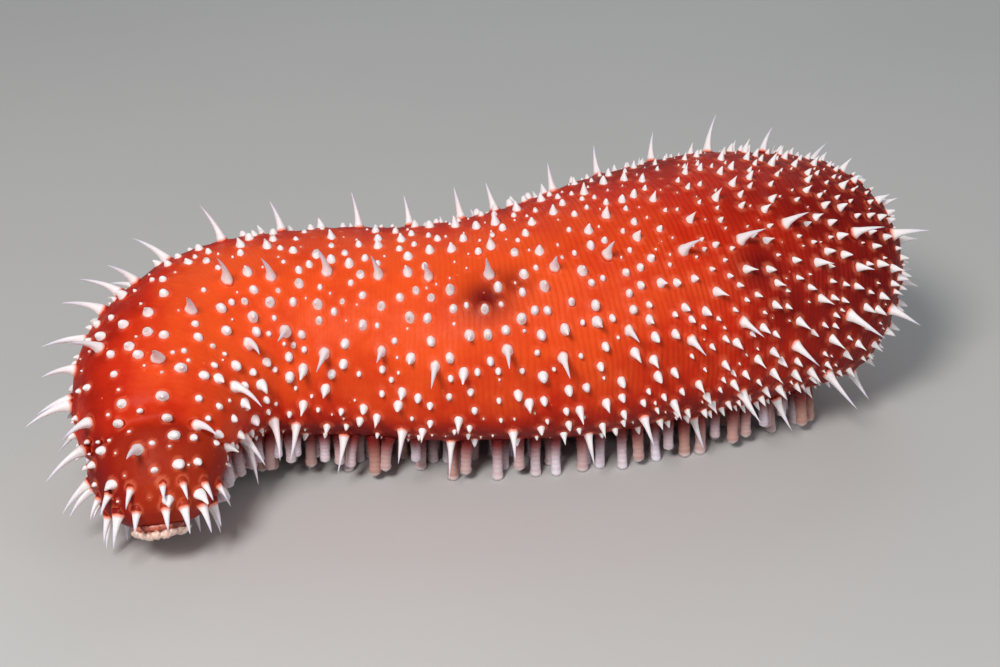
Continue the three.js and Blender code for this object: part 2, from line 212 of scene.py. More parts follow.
# Mouth: steps of its disc, outwards and across, and its tentacles
MOUTH_SIDES = 48
MOUTH_PROFILE = (
    (0.2, 8.0), (1.2, 7.9), (1.9, 7.0), (1.7, 5.0), (1.1, 3.2), (0.3, 1.8), (-0.8, 1.1), (-2.0, 0.8),
)
MOUTH_DEPTH = 2.2
TENTACLE_COUNT = 20
TENTACLE_RING = 5.6
TENTACLE_OUT = 0.6
TENTACLE_LENGTH = 3.6
TENTACLE_SIDES = 20
TENTACLE_STEPS = 14
STALK_RADIUS = 0.72
CROWN_EXTRA = 0.75
CROWN_PLACE = 0.75
CROWN_HALF_LENGTH = 0.26
CROWN_KNOBS = 5
KNOB_DEPTH = 0.22
MOUTH_CRIMPS = 10
CRIMP_DEPTH = 0.03

# Skin: its grid and its relief of mounds, groove, slow swell and ring folds
SKIN_RINGS = 480
SKIN_SIDES = 200
END_CROWDING = 0.055
GROOVE_DEPTH = 1.3
GROOVE_WIDTH = 1.7
GROOVE_WANDER = 1.2
MOUND_HEIGHT = 0.45
MOUND_SPREAD = 1.3
MOUND_RADIUS = 1.7
LARGEST_MOUND = 1.6
HALO_FROM = 0.9
HALO_WIDTH = 0.7
SWELL_DEPTH = 0.5
FOLD_PITCH = 4.6
FOLD_START = 150
FOLD_REACH = 90
END_FADE = 8
SKIN_CLEARANCE = 1.0
VENT_DEPTH = 4.5
VENT_STEPS = 8
VENT_NARROWING = 0.6
# The skin inside the vent takes this share of the blotch colour, so it is darker there
VENT_DARKENING = 0.6

# Unwrap: the share that the body takes lengthwise, before the vent, and the radius of a patch
BODY_UNWRAP = 0.97
PATCH_RADIUS = 0.0015

# Dark blotches: place along the axis, angle in degrees, size in millimetres and strength
BLOTCHES = (
    (150, 46, 6.5, 1.0),
    (157, 40, 5, 0.7),
    (222, 58, 7.5, 0.95),
    (226, 78, 6, 0.75),
    (211, -20, 7, 0.75),
    (241, 40, 8, 0.5),
    (262, 75, 10, 0.6),
    (196, -18, 6, 0.4),
)
BLOTCH_GIRTH = 35

# Colour of the body wall: the side that is brightest, partly its own tone and partly painted light, and the
# pitch of its fine wrinkles
PAINTED_LIGHT_SIDE = math.radians(46)
WRINKLE_PITCH = 1.45
FLESH_SCATTER = (1.0, 0.35, 0.25)
COAT_ROUGHNESS = 0.22

# Stage: floor, lights as name, place, size, power and colour, and the sensor's width in millimetres
FLOOR_SIZE = 6.0
LIGHTS = (
    ("key", (-0.3, -0.66, 0.74), 0.3, 8.2, (1.0, 0.97, 0.94)),
    ("fill", (0.75, -0.5, 0.45), 0.7, 1.5, (0.94, 0.97, 1.0)),
    ("back", (0.1, 0.8, 0.7), 0.8, 1.4, (0.96, 0.98, 1.0)),
)
LIGHT_AIM = (0, 0, 0.03)
SKY_COLOUR = (0.9, 0.94, 1.0, 1)
SKY_STRENGTH = 0.2
SENSOR_WIDTH = 36
CLIP_START = 0.01

# Fineness of the axis table, steps that measure the skin's slope, and numbers that keep rows apart
AXIS_SAMPLES = 600
PLACE_STEP = 0.5
ANGLE_STEP = 0.02
ROW_NUMBERS = 100
FILL_ROW_NUMBERS = 200
STEEP = 0.9
TINY = 1e-9

UP = np.array([0.0, 0.0, 1.0])
ACROSS = np.array([1.0, 0.0, 0.0])


# Body surface

def axis_values(t):
    """Smoothed station values at t, from 0 at the mouth to 1 at the rear, by a uniform cubic B-spline."""
    rows = BODY_STATIONS
    padded = np.vstack([2 * rows[0] - rows[1], rows, 2 * rows[-1] - rows[-2]])
    place = np.clip(np.atleast_1d(t), 0, 1) * (len(rows) - 1)
    first = np.minimum(np.floor(place).astype(int), len(rows) - 2)
    w = (place - first)[:, None]
    v = 1 - w
    return (
        v**3 * padded[first]
        + (3 * w**3 - 6 * w**2 + 4) * padded[first + 1]
        + (-3 * w**3 + 3 * w**2 + 3 * w + 1) * padded[first + 2]
        + w**3 * padded[first + 3]
    ) / 6


AXIS_T = np.linspace(0, 1, AXIS_SAMPLES + 1)
AXIS_STEPS = np.linalg.norm(np.diff(axis_values(AXIS_T)[:, :3], axis=0), axis=1)
AXIS_LENGTHS = np.concatenate([[0], np.cumsum(AXIS_STEPS)])
BODY_LENGTH = float(AXIS_LENGTHS[-1])
REAR_END = BODY_LENGTH - REAR_TIP


def smooth_step(x):
    """Smooth change from 0 to 1 as x goes from 0 to 1."""
    c = np.clip(x, 0, 1)
    return c * c * (3 - 2 * c)


def hump(x, middle, width):
    """A bell of height 1 round the middle."""
    return np.exp(-(((x - middle) / width) ** 2))


def unit(v):
    """Vectors of length 1."""
    return v / np.maximum(np.linalg.norm(v, axis=-1, keepdims=True), TINY)


def angles_round(sides):
    """Equal angles once round a circle."""
    return 2 * math.pi * np.arange(sides) / sides


def axis_frames(s):
    """Values, centre, along, back and side directions of the axis at lengths s."""
    s = np.atleast_1d(s).astype(float)
    t = np.interp(np.clip(s, 0, BODY_LENGTH), AXIS_LENGTHS, AXIS_T)
    e = 0.5 / AXIS_SAMPLES
    values = axis_values(t)
    ahead = axis_values(np.minimum(t + e, 1))[:, :3]
    behind = axis_values(np.maximum(t - e, 0))[:, :3]
    along = unit(ahead - behind)
    back = unit(UP - along * along[:, 2:3])
    side = np.cross(along, back)
    twist = HEAD_TWIST * (1 - smooth_step(s / HEAD_TWIST_LENGTH))[:, None]
    turned_back = back * np.cos(twist) + side * np.sin(twist)
    turned_side = side * np.cos(twist) - back * np.sin(twist)
    return values, values[:, :3] + BODY_SHIFT, along, turned_back, turned_side


def draw_in(s):
    """How far the rounded ends and the crease draw the section in."""
    oral = np.sqrt(np.maximum(1 - (1 - np.minimum(s / ORAL_CAP, 1)) ** 2, 0))
    rear = np.sqrt(np.maximum(1 - (1 - np.minimum((BODY_LENGTH - s) / REAR_CAP, 1)) ** 2, 0))
    return oral * rear * (1 - CREASE_DEPTH * hump(s, CREASE_PLACE, CREASE_WIDTH))


def skin_points(s, phi):
    """Points of the skin at lengths s and angles phi, 0 on the back and a quarter turn on the near side."""
    s, phi = np.broadcast_arrays(np.asarray(s, float), np.asarray(phi, float))
    shape = s.shape
    s, phi = s.ravel(), phi.ravel()
    values, centre, _, back, side = axis_frames(s)
    sine, cosine = np.sin(phi), np.cos(phi)
    power = 2 / np.where(cosine > 0, ROUND_POWER, SOLE_POWER)
    inward = draw_in(s)
    across = values[:, 3] * inward * np.sign(sine) * np.abs(sine) ** power
    upward = values[:, 4] * inward * np.sign(cosine) * np.abs(cosine) ** power
    return (centre + side * across[:, None] + back * upward[:, None]).reshape(shape + (3,))


def skin_places(s, phi):
    """Points, outward normals, axis directions and packing of the skin at s and phi."""
    s = np.atleast_1d(np.asarray(s, float))
    phi = np.atleast_1d(np.asarray(phi, float))
    points = skin_points(s, phi)
    across = skin_points(s, phi + ANGLE_STEP) - skin_points(s, phi - ANGLE_STEP)
    lengthwise = skin_points(s + PLACE_STEP, phi) - skin_points(s - PLACE_STEP, phi)
    normals = unit(np.cross(across, lengthwise))
    _, centre, along, _, _ = axis_frames(s)
    outward = np.sign(np.sum(normals * (points - centre), axis=1, keepdims=True))
    packing = np.linalg.norm(lengthwise, axis=1) / (2 * PLACE_STEP)
    return points, normals * outward, along, packing


def girth_at(s, half_angle):
    """Length round the body at s, out to half_angle on both sides of the back."""
    values = axis_frames(s)[0][0]
    return (values[3] + values[4]) * float(draw_in(s)) * half_angle


def rearward(s):
    """Share from 0, up to the bend's middle, to 1 at the rear."""
    return float(smooth_step((s - BEND_MIDDLE) / BEND_REACH))


# Places of the papillae and tube feet

def draw(n, kind):
    """Repeatable draw from 0 to 1 for the nth thing; each use has a kind of its own."""
    wave = math.sin(n * 12.9898 + kind * 78.233) * 43758.5453
    return wave - math.floor(wave)


def strayed(value, n, kind, spread):
    """The value moved by up to half the spread either way."""
    return value + (draw(n, kind) - 0.5) * spread


def varied(n, kind, spread):
    """A factor round 1, up to the spread either way."""
    return 1 + (draw(n, kind) * 2 - 1) * spread


def clear_of_cuts(s):
    """The nearest place that is clear of the cuts between the lengths."""
    for cut in CUTS:
        if abs(s - cut) < CUT_MARGIN:
            return cut + (-CUT_MARGIN if s < cut else CUT_MARGIN)
    return s


def large_papillae():
    """Large papillae in rows, longer towards both ends: (s, phi, radius, height) each."""
    found = []
    for row, (angle, drift, zigzag, start, pitch, end) in enumerate(LARGE_ROWS):
        count = math.floor(((end or BODY_LENGTH - ROW_END_MARGIN) - start) / pitch) + 1
        for k in range(count):
            n = row * ROW_NUMBERS + k
            s = clear_of_cuts(strayed(start + k * pitch, n, 1, ROW_JITTER_ALONG))
            turn = angle + drift * (s - ROW_ANGLE_PLACE) + (zigzag if k % 2 else -zigzag)
            phi = math.radians(strayed(turn, n, 2, ROW_JITTER_ANGLE))
            ends = min(abs(s - LARGE_MIDDLE) / LARGE_REACH, 1) ** 2
            height = (LARGE_HEIGHT + LARGE_END_HEIGHT * ends) * varied(n, 3, LARGE_SPREAD)
            if skin_places(s, phi)[3][0] >= TIGHTEST_SKIN:
                found.append((s, phi, LARGE_RADIUS, height))
    return found


def medium_papillae(large):
    """Medium papillae in staggered rings, left out where a large one stands."""
    taken = np.array([skin_points(s, phi) for s, phi, *_ in large])
    found = []
    ring = 0
    s = MEDIUM_START
    while s < BODY_LENGTH - MEDIUM_END_MARGIN:
        pitch = MEDIUM_FRONT_PITCH + (MEDIUM_REAR_PITCH - MEDIUM_FRONT_PITCH) * (s / BODY_LENGTH)
        count = max(1, math.floor(girth_at(s, MEDIUM_HALF_ANGLE) / pitch + 0.5))
        for j in range(count):
            n = ring * ROW_NUMBERS + j
            place = clear_of_cuts(strayed(s, n, 4, 2 * MEDIUM_JITTER * pitch))
            share = strayed(j + MEDIUM_STAGGER[ring % 2], n, 5, MEDIUM_JITTER) / count
            phi = MEDIUM_HALF_ANGLE * (2 * share - 1)
            points, _, _, packing = skin_places(place, phi)
            crowded = packing[0] < TIGHTEST_SKIN or draw(n, 6) > packing[0] * MEDIUM_KEEP
            if crowded or np.min(np.linalg.norm(taken - points[0], axis=1)) < MEDIUM_CLEARANCE:
                continue
            extra = MEDIUM_REAR_HEIGHT * rearward(place) + MEDIUM_MARGIN_HEIGHT * math.sin(phi) ** 2
            height = (MEDIUM_HEIGHT + extra) * varied(n, 7, MEDIUM_SPREAD)
            found.append((place, phi, MEDIUM_RADIUS, height))
        ring += 1
        s += pitch
    return found


def end_papillae(count, radius, height, forward, s):
    """Papillae in a ring round one end of the body, with how far they lean forward."""
    found = []
    for k in range(count):
        phi = 2 * math.pi * (k + END_TURN_JITTER * draw(k, 8)) / count
        share = END_HEIGHTS[0] + END_HEIGHTS[1] * draw(k, 9)
        found.append((s, phi, radius, height * share, forward))
    return found


def root_tree(papillae):
    """A search tree over the roots of papillae."""
    tree = KDTree(len(papillae))
    for i, (s, phi, *_) in enumerate(papillae):
        tree.insert(Vector(skin_points(s, phi)), i)
    tree.balance()
    return tree


def fill_papillae(taken, pitch, radii, heights, keep, kind):
    """Smaller papillae of varied size, in slanting rows across the body between those taken already."""
    tree = root_tree(taken)
    found = []
    chosen = []
    ring = 0
    s = FILL_START
    while s < BODY_LENGTH - FILL_END_MARGIN:
        closer = pitch * (1 - FILL_CLOSER * rearward(s))
        count = max(1, round(girth_at(s, FILL_HALF_ANGLE) / closer))
        for j in range(count):
            n = ring * FILL_ROW_NUMBERS + j
            if draw(n, kind) > keep:
                continue
            share = strayed(j + 0.5 * (ring % 2), n, kind + 2, FILL_JITTER) / count
            phi = FILL_HALF_ANGLE * (2 * share - 1)
            place = strayed(s, n, kind + 1, FILL_JITTER * closer)
            bigger = draw(n, kind + 3)
            size = radii[0] + (radii[1] - radii[0]) * bigger
            points, _, _, packing = skin_places(place, phi)
            point = Vector(points[0])
            _, near, distance = tree.find(point)
            if packing[0] < TIGHTEST_SKIN or distance < taken[near][2] + size + FILL_SPACE:
                continue
            recent = chosen[-count * FILL_ROWS_NEAR:]
            if any((point - other).length < size + wide + FILL_SPACE for other, wide in recent):
                continue
            chosen.append((point, size))
            taller = (1 + FILL_REAR * rearward(place)) * (1 + FILL_MARGIN * math.sin(phi) ** 2)
            height = (heights[0] + (heights[1] - heights[0]) * bigger) * taller
            found.append((place, phi, size, height))
        ring += 1
        s += closer * FILL_ROW_SHARE
    return found


@functools.cache
def all_papillae():
    """Papillae by piece: large and medium ones as the solids have them, then those in between."""
    large = large_papillae()
    medium = medium_papillae(large)
    rim = [papilla for ring in RIM_RINGS for papilla in end_papillae(*ring)]
    vent = end_papillae(*VENT_RING, BODY_LENGTH - VENT_RING_FROM_END)
    standing = [*large, *medium, *rim, *vent]
    small = fill_papillae(standing, *SMALL_FILL)
    return {
        "large_papillae": [*large, *rim],
        "medium_papillae": [*medium, *vent],
        "small_papillae": small,
        "tiny_papillae": fill_papillae([*standing, *small], *TINY_FILL),
    }


def feet_places(rows, kind, keep, settle):
    """Tube feet in rows along the sole: (s, phi) each; settle moves a place along the axis."""
    found = []
    count = math.floor((BODY_LENGTH - FOOT_END_MARGIN - FOOT_START) / FOOT_PITCH)
    for row, (angle, first) in enumerate(rows):
        for k in range(count):
            n = row * ROW_NUMBERS + k
            s = settle(strayed(FOOT_START + (k + first) * FOOT_PITCH, n, kind, FOOT_JITTER))
            phi = math.radians(strayed(angle, n, kind + 1, FOOT_ANGLE_JITTER))
            if skin_places(s, phi)[3][0] >= TIGHTEST_SKIN and draw(n, kind + 2) < keep:
                found.append((s, phi))
    return found


# Mesh making

def make_object(name, points, faces, values, unwrap=None):
    """A smooth-shaded mesh object from points in millimetres, with float attributes on its vertices."""
    mesh = bpy.data.meshes.new(name)
    mesh.from_pydata((np.asarray(points) * MM).tolist(), [], faces)
    for key, numbers in values.items():
        layer = mesh.attributes.new(key, "FLOAT", "POINT")
        layer.data.foreach_set("value", np.asarray(numbers, np.float32))
    mesh.polygons.foreach_set("use_smooth", np.ones(len(mesh.polygons), bool))
    if unwrap is not None:
        layer = mesh.uv_layers.new(name="OFBake")
        corners = np.empty(len(mesh.loops), np.int32)
        mesh.loops.foreach_get("vertex_index", corners)
        layer.data.foreach_set("uv", np.asarray(unwrap, np.float32)[corners].ravel())
    mesh.validate()
    mesh.update()
    made = bpy.data.objects.new(name, mesh)
    bpy.context.collection.objects.link(made)
    return made


def band_faces(offset, bands, sides):
    """Quads between rings of vertices, from a vertex offset."""
    faces = []
    for start in range(offset, offset + bands * sides, sides):
        for j in range(sides):
            k = (j + 1) % sides
            faces.append((start + j, start + k, start + sides + k, start + sides + j))
    return faces


def per_ring(values, sides, tip):
    """A value for each vertex, from one for each ring and one for the tip."""
    return np.append(np.repeat(values, sides), tip)


class Gathered:
    """Many small forms that become one mesh, each with values and an unwrap for its vertices."""

    def __init__(self):
        self.points = []
        self.faces = []
        self.unwrap = []
        self.values = {}
        self.count = 0

    def add(self, rings, tip, values, unwrap=None):
        """Adds one form: rings of points, closed by a flat foot and by a fan to the tip."""
        steps, sides, _ = rings.shape
        last = self.count + (steps - 1) * sides
        self.faces += band_faces(self.count, steps - 1, sides)
        self.faces += [(last + j, last + (j + 1) % sides, last + sides) for j in range(sides)]
        self.faces.append(tuple(self.count + j for j in reversed(range(sides))))
        self.points.append(np.vstack([rings.reshape(-1, 3), tip]))
        total = steps * sides + 1
        for key, value in values.items():
            self.values.setdefault(key, []).append(np.broadcast_to(value, (total,)))
        if unwrap is not None:
            self.unwrap.append(unwrap)
        self.count += total

    def make(self, name):
        """The one mesh object of all forms."""
        values = {key: np.concatenate(parts) for key, parts in self.values.items()}
        unwrap = np.vstack(self.unwrap) if self.unwrap else None
        return make_object(name, np.vstack(self.points), self.faces, values, unwrap)


def patch_unwrap(s, phi, share, sides):
    """A small round patch at the root's place on the skin's own unwrap, its middle at the tip."""
    centre = np.array([s / BODY_LENGTH * BODY_UNWRAP, phi / (2 * math.pi) + 0.5])
    centre = np.clip(centre, 2 * PATCH_RADIUS, 1 - 2 * PATCH_RADIUS)
    angle = angles_round(sides)
    circle = np.column_stack([np.cos(angle), np.sin(angle)])
    rings = centre + circle[None] * ((1 - share) * PATCH_RADIUS)[:, None, None]
    return np.vstack([rings.reshape(-1, 2), centre])


def blotch_at(s, phi):
    """Share of the dark red blotches at s and phi."""
    found = np.zeros(np.shape(s))
    for place, angle, size, strength in BLOTCHES:
        across = np.remainder(phi - math.radians(angle) + math.pi, 2 * math.pi) - math.pi
        span = np.hypot(s - place, across * BLOTCH_GIRTH)
        found = np.maximum(found, strength * hump(span, 0, size))
    return found


# Skin

def skin_grid():
    """Lengths and angles of the skin's grid, closer together at both ends."""
    share = np.linspace(0, 1, SKIN_RINGS)
    crowded = share - END_CROWDING * np.sin(2 * np.pi * share) / (2 * np.pi)
    s = ORAL_START + (REAR_END - ORAL_START) * crowded
    rear = s > BODY_LENGTH - REAR_CAP
    first = s[rear][0]
    swing = (s[rear] - first) / (s[-1] - first)
    s[rear] = first + (s[-1] - first) * np.sin(swing * np.pi / 2)
    return s, -math.pi + 2 * math.pi * (np.arange(SKIN_SIDES) / SKIN_SIDES)


def mounds_and_halos(points, papillae):
    """Height of the mound and share of the pale edge that the nearest papilla gives each point."""
    tree = root_tree(papillae)
    nearest = [tree.find(point) for point in points]
    distance = np.array([span for _, _, span in nearest])
    size = np.array([papillae[i][2] for _, i, _ in nearest])
    height = MOUND_HEIGHT * np.clip(size / MOUND_RADIUS, 0, LARGEST_MOUND)
    mound = height * hump(distance, 0, size * MOUND_SPREAD)
    return mound, 1 - smooth_step((distance - size * HALO_FROM) / HALO_WIDTH)


def groove_at(s, phi):
    """Depth of the groove behind the head lobe, which wanders a little round the body."""
    return GROOVE_DEPTH * hump(s, CREASE_PLACE + GROOVE_WANDER * np.sin(2 * phi + 0.6), GROOVE_WIDTH)


def soft_relief(s, phi, fold_depth):
    """Slow swell all over, and ring folds that grow where the rear is contracted; both fade at the ends."""
    swell = SWELL_DEPTH * np.sin(s * 0.11 + 2 * np.sin(phi)) * np.sin(2.3 * phi + s * 0.05)
    contracted = smooth_step((s - FOLD_START) / FOLD_REACH)
    slant = 1.2 * np.sin(phi - 0.4) + 0.5 * np.sin(3 * phi + s * 0.03)
    fold = fold_depth * np.sin(s * 2 * math.pi / FOLD_PITCH + slant) * (0.1 + 0.9 * contracted)
    return (swell + fold) * smooth_step((s - ORAL_START) / END_FADE) * smooth_step((REAR_END - s) / END_FADE)


def vent_rings(last_ring):
    """Rings that draw the skin in to the vent at the rear end."""
    inside = axis_frames(BODY_LENGTH - VENT_DEPTH)[1][0]
    middle = last_ring.mean(axis=0)
    rings = []
    for step in range(1, VENT_STEPS + 1):
        share = step / VENT_STEPS
        narrowed = 1 - VENT_NARROWING * math.sin(share * math.pi / 2)
        rings.append(middle + (inside - middle) * share + (last_ring - middle) * narrowed)
    return np.vstack(rings)


def close_seam(mesh, bands, sides):
    """Puts the corners where the skin's last column meets its first at the far edge of the unwrap."""
    layer = mesh.uv_layers["OFBake"]
    flat = np.empty(2 * len(mesh.loops), np.float32)
    layer.data.foreach_get("uv", flat)
    last_column = 4 * (np.arange(bands) * sides + sides - 1)
    for corner in (1, 2):
        flat[2 * (last_column + corner) + 1] = 1.0
    layer.data.foreach_set("uv", flat)


def build_skin(settings, papillae):
    """One seamless skin with a mound under each papilla, the crease behind the head lobe and soft folds."""
    lengths, angles = skin_grid()
    sides = len(angles)
    s, phi = (grid.ravel() for grid in np.meshgrid(lengths, angles, indexing="ij"))
    points, normals, _, packing = skin_places(s, phi)
    mound, halo = mounds_and_halos(points, papillae)
    relief = soft_relief(s, phi, settings.fold_depth / MM) * np.clip(packing, 0, 1)
    points = points + normals * (mound - groove_at(s, phi) + relief)[:, None]
    points[:, 2] = np.maximum(points[:, 2], SKIN_CLEARANCE)

    vent = vent_rings(points[-sides:])
    bands = len(lengths) - 1 + VENT_STEPS
    faces = band_faces(0, bands, sides)
    faces.append(tuple(bands * sides + j for j in range(sides)))
    faces.append(tuple(reversed(range(sides))))
    vent_u = BODY_UNWRAP + (1 - BODY_UNWRAP) * (np.arange(VENT_STEPS) + 1) / VENT_STEPS
    turn = np.concatenate([phi, np.tile(angles, VENT_STEPS)])
    unwrap_u = np.concatenate([s / BODY_LENGTH * BODY_UNWRAP, np.repeat(vent_u, sides)])
    count = len(vent)
    values = {
        "place": np.concatenate([s, np.full(count, BODY_LENGTH)]),
        "turn": turn,
        "blotch": np.concatenate([blotch_at(s, phi), np.full(count, VENT_DARKENING)]),
        "halo": np.concatenate([halo, np.zeros(count)]),
    }
    unwrap = np.column_stack([unwrap_u, turn / (2 * math.pi) + 0.5])
    skin = make_object("skin", np.vstack([points, vent]), faces, values, unwrap)
    close_seam(skin.data, bands, sides)
    return skin


# Papillae

def curve_through(start, knee, tip, share):
    """Points and directions along a soft bend from start past knee to tip."""
    v = share[:, None]
    points = (1 - v) ** 2 * start + 2 * v * (1 - v) * knee + v**2 * tip
    directions = unit(2 * (1 - v) * (knee - start) + 2 * v * (tip - knee))
    return points, directions


def rings_along(points, directions, radii, sides):
    """Rings of points square to a path."""
    guide = UP if abs(directions[0][2]) < STEEP else ACROSS
    first = unit(np.cross(guide, directions))
    second = np.cross(directions, first)
    angle = angles_round(sides)
    cosine, sine = np.cos(angle)[:, None], np.sin(angle)[:, None]
    circle = cosine * first[:, None] + sine * second[:, None]
    return points[:, None] + circle * np.asarray(radii)[:, None, None]


def room_inside(point, tip):
    """Share of the way from point to tip that stays inside the solids' box."""
    kept = 1.0
    for axis in range(3):
        low = CAD_BOUNDS[0][axis] / MM + BOX_MARGIN
        high = CAD_BOUNDS[1][axis] / MM - BOX_MARGIN
        limit = low if tip[axis] < low else high
        if tip[axis] < low or tip[axis] > high:
            kept = min(kept, (limit - point[axis]) / (tip[axis] - point[axis]))
    return kept


def papilla_path(s, phi, height, forward=0.0):
    """Root point, normal, axis direction, knee, tip and length of a papilla, as the solids have them."""
    points, normals, along, _ = skin_places(s, phi)
    point, normal, along = points[0], normals[0], along[0]
    stem = unit(normal - along * forward)
    towards_end = float(np.clip((s - BEND_MIDDLE) / BEND_REACH, -1, 1)) * BEND_ALONG
    droop = BEND_DROOP * abs(math.sin(phi))
    over = unit(stem + along * towards_end - UP * droop)
    rise = WAIST_AT * stem[2] + (1 - WAIST_AT) * over[2]
    length = min(height, (point[2] - FLOOR_CLEARANCE) / -rise) if rise < 0 else height
    knee = point + stem * length * WAIST_AT
    tip = knee + over * length * (1 - WAIST_AT)
    kept = room_inside(point, tip)
    return point, normal, along, point + (knee - point) * kept, point + (tip - point) * kept, length * kept


def roughen(rings, path, seed, along):
    """Slight unevenness and an oval section, broader across the body, so that no two papillae are alike."""
    steps, sides, _ = rings.shape
    angle = angles_round(sides)
    phase = 2 * math.pi * draw(seed, 31)
    oval, knobbly, wavy = UNEVEN
    wave = 1 + oval * np.cos(2 * angle + phase) + knobbly * np.cos(5 * angle + 3 * phase)
    swell = 1 + wavy * np.sin(np.linspace(0, 9, steps) + phase)
    spokes = (rings - path[:, None]) * wave[None, :, None] * swell[:, None, None]
    lengthwise = np.sum(spokes * along, axis=2, keepdims=True)
    return path[:, None] + spokes - along * lengthwise * OVAL


def large_profile(share, sharp):
    """A round foot that narrows to a slender finger with a small blunt tip."""
    return 0.74 * (1 - share) ** (0.75 + 0.1 * sharp) + 0.38 * hump(share, 0, 0.25)


def button_profile(share, sharp):
    """A button with round shoulders and a short tip, drawn out to a point where it is sharp."""
    shoulders = 1 - 0.3 * smooth_step((share - 0.35) / 0.5)
    return 1.05 * (1 - share) ** (0.5 + 0.4 * sharp) * shoulders * (1 - 0.16 * sharp)


def dome_profile(share, sharp):
    """A low button, round on the back and pointed where it is sharp."""
    return 1.04 * (1 - share ** (1.8 - 0.6 * sharp)) ** (0.5 + 0.3 * sharp) * (1 - 0.16 * sharp)


def sharpness(s, phi):
    """How pointed the papillae are: round on the front of the back, pointed at the rear and the margins."""
    rear = smooth_step((s - SHARP_PLACE) / SHARP_REACH)
    margin = smooth_step((abs(phi - ROUND_SIDE) - ROUND_HALF_WIDTH) / ROUND_FADE)
    return float(np.maximum(rear, SHARP_MARGIN * margin))


def build_papillae(name, papillae, sides, steps, profile):
    """All papillae of one kind as one mesh; profile gives the radius share along each."""
    gathered = Gathered()
    share = np.sin(np.linspace(0, math.pi / 2, steps + 1))[:-1]
    for i, (s, phi, radius, height, *forward) in enumerate(papillae):
        point, normal, along, knee, tip, length = papilla_path(s, phi, height, *forward)
        path, directions = curve_through(point - normal * ROOT_DEPTH, knee, tip, share)
        rings = rings_along(path, directions, radius * profile(share, sharpness(s, phi)), sides)
        values = {
            "place": s,
            "turn": phi,
            "blotch": blotch_at(s, phi),
            "lift": per_ring(np.sum((path - point) * normal, axis=1), sides, length),
            "tipward": per_ring(share, sides, 1.0),
            "variety": draw(i, 21),
        }
        gathered.add(roughen(rings, path, i, along), tip, values, patch_unwrap(s, phi, share, sides))
    return gathered.make(name)


# Tube feet

def foot_path(s, phi, variety):
    """Root and direction of a tube foot, its length, and whether it stands on the floor."""
    points, normals, _, _ = skin_places(s, phi)
    point = points[0]
    direction = unit(normals[0] * FOOT_SPLAY - UP)
    to_floor = point[2] / -direction[2]
    if to_floor < FOOT_LONGEST:
        return point, direction, to_floor, True
    room = (point[2] - HANGING_CLEARANCE) / -direction[2]
    return point, direction, min(FOOT_FREE * (0.75 + 0.5 * variety), room), False


def foot_radii(share, variety, stands):
    """Radii of a tube foot: wider at its root and at its disc, and rounded off at a hanging end."""
    width = FOOT_RADIUS + FOOT_RADIUS_RANGE * variety
    radii = width * (0.86 + 0.34 * (1 - share) ** 3 + 0.12 * hump(share, 0.9, 0.09))
    if stands:
        return radii
    rounded = np.clip(1 - ((share - FOOT_ROUND_FROM) / FOOT_ROUNDING) ** 2, 0, 1)
    return np.maximum(radii * np.sqrt(np.where(share > FOOT_ROUND_FROM, rounded, 1)), FOOT_THINNEST)


def build_feet(name, feet, sides, steps):
    """Tube feet: soft tubes with a rounded disc at the end, flat on the floor where they stand."""
    gathered = Gathered()
    share = np.linspace(0, 1, steps)
    settle = smooth_step((share - FOOT_SETTLE_FROM) / (1 - FOOT_SETTLE_FROM))[:, None]
    for i, (s, phi) in enumerate(feet):
        variety = draw(i, 41)
        point, direction, length, stands = foot_path(s, phi, variety)
        root = point - direction * FOOT_ROOT
        end = point + direction * length
        swing = STANDING_SWAY if stands else HANGING_SWAY
        sway = np.array([draw(i, 42) - 0.5, draw(i, 43) - 0.5, 0]) * swing
        knee = (root + end) / 2 + sway
        if not stands:
            end = end + sway * HANGING_END_SWAY
            end[2] = max(end[2], HANGING_LEVEL)
        path, directions = curve_through(root, knee, end, share)
        if stands:
            directions = unit(directions * (1 - settle) - UP * settle)
        rings = rings_along(path, directions, foot_radii(share, variety, stands), sides)
        wrinkle = 1 + 0.03 * np.sin(share * 26 + 6 * variety)
        rings = path[:, None] + (rings - path[:, None]) * wrinkle[:, None, None]
        if stands:
            rings[-1, :, 2] = 0.0
            end[2] = 0.0
        rings[:, :, 2] = np.maximum(rings[:, :, 2], 0.0)
        values = {
            "place": s,
            "turn": phi,
            "blotch": blotch_at(s, phi),
            "tipward": per_ring(share, sides, 1.0),
            "variety": variety,
        }
        gathered.add(rings, end, values, patch_unwrap(s, phi, share, sides))
    return gathered.make(name)


# Mouth

def tentacle(root, lean, length, seed):
    """Rings and tip of a short tentacle: a stalk and a crown whose edge is drawn out into knobs."""
    share = np.linspace(0, 1, TENTACLE_STEPS)
    path = root + lean * (share * length)[:, None]
    directions = np.repeat(lean[None], TENTACLE_STEPS, axis=0)
    rounding = np.clip(1 - ((share - CROWN_PLACE) / CROWN_HALF_LENGTH) ** 2, 0, 1) + (share < CROWN_PLACE)
    crown = np.clip(smooth_step((share - 0.5) / 0.25) * np.sqrt(rounding), 0, 1)
    radii = np.where(share > 0.98, 0.5, STALK_RADIUS + CROWN_EXTRA * crown)
    rings = rings_along(path, directions, radii, TENTACLE_SIDES)
    around = np.cos(CROWN_KNOBS * angles_round(TENTACLE_SIDES) + 6 * draw(seed, 55))
    knobs = 1 + KNOB_DEPTH * around[None, :] * crown[:, None]
    rings = path[:, None] + (rings - path[:, None]) * knobs[:, :, None]
    return rings, root + lean * length * 1.04, {"tipward": per_ring(share, TENTACLE_SIDES, 1.0)}


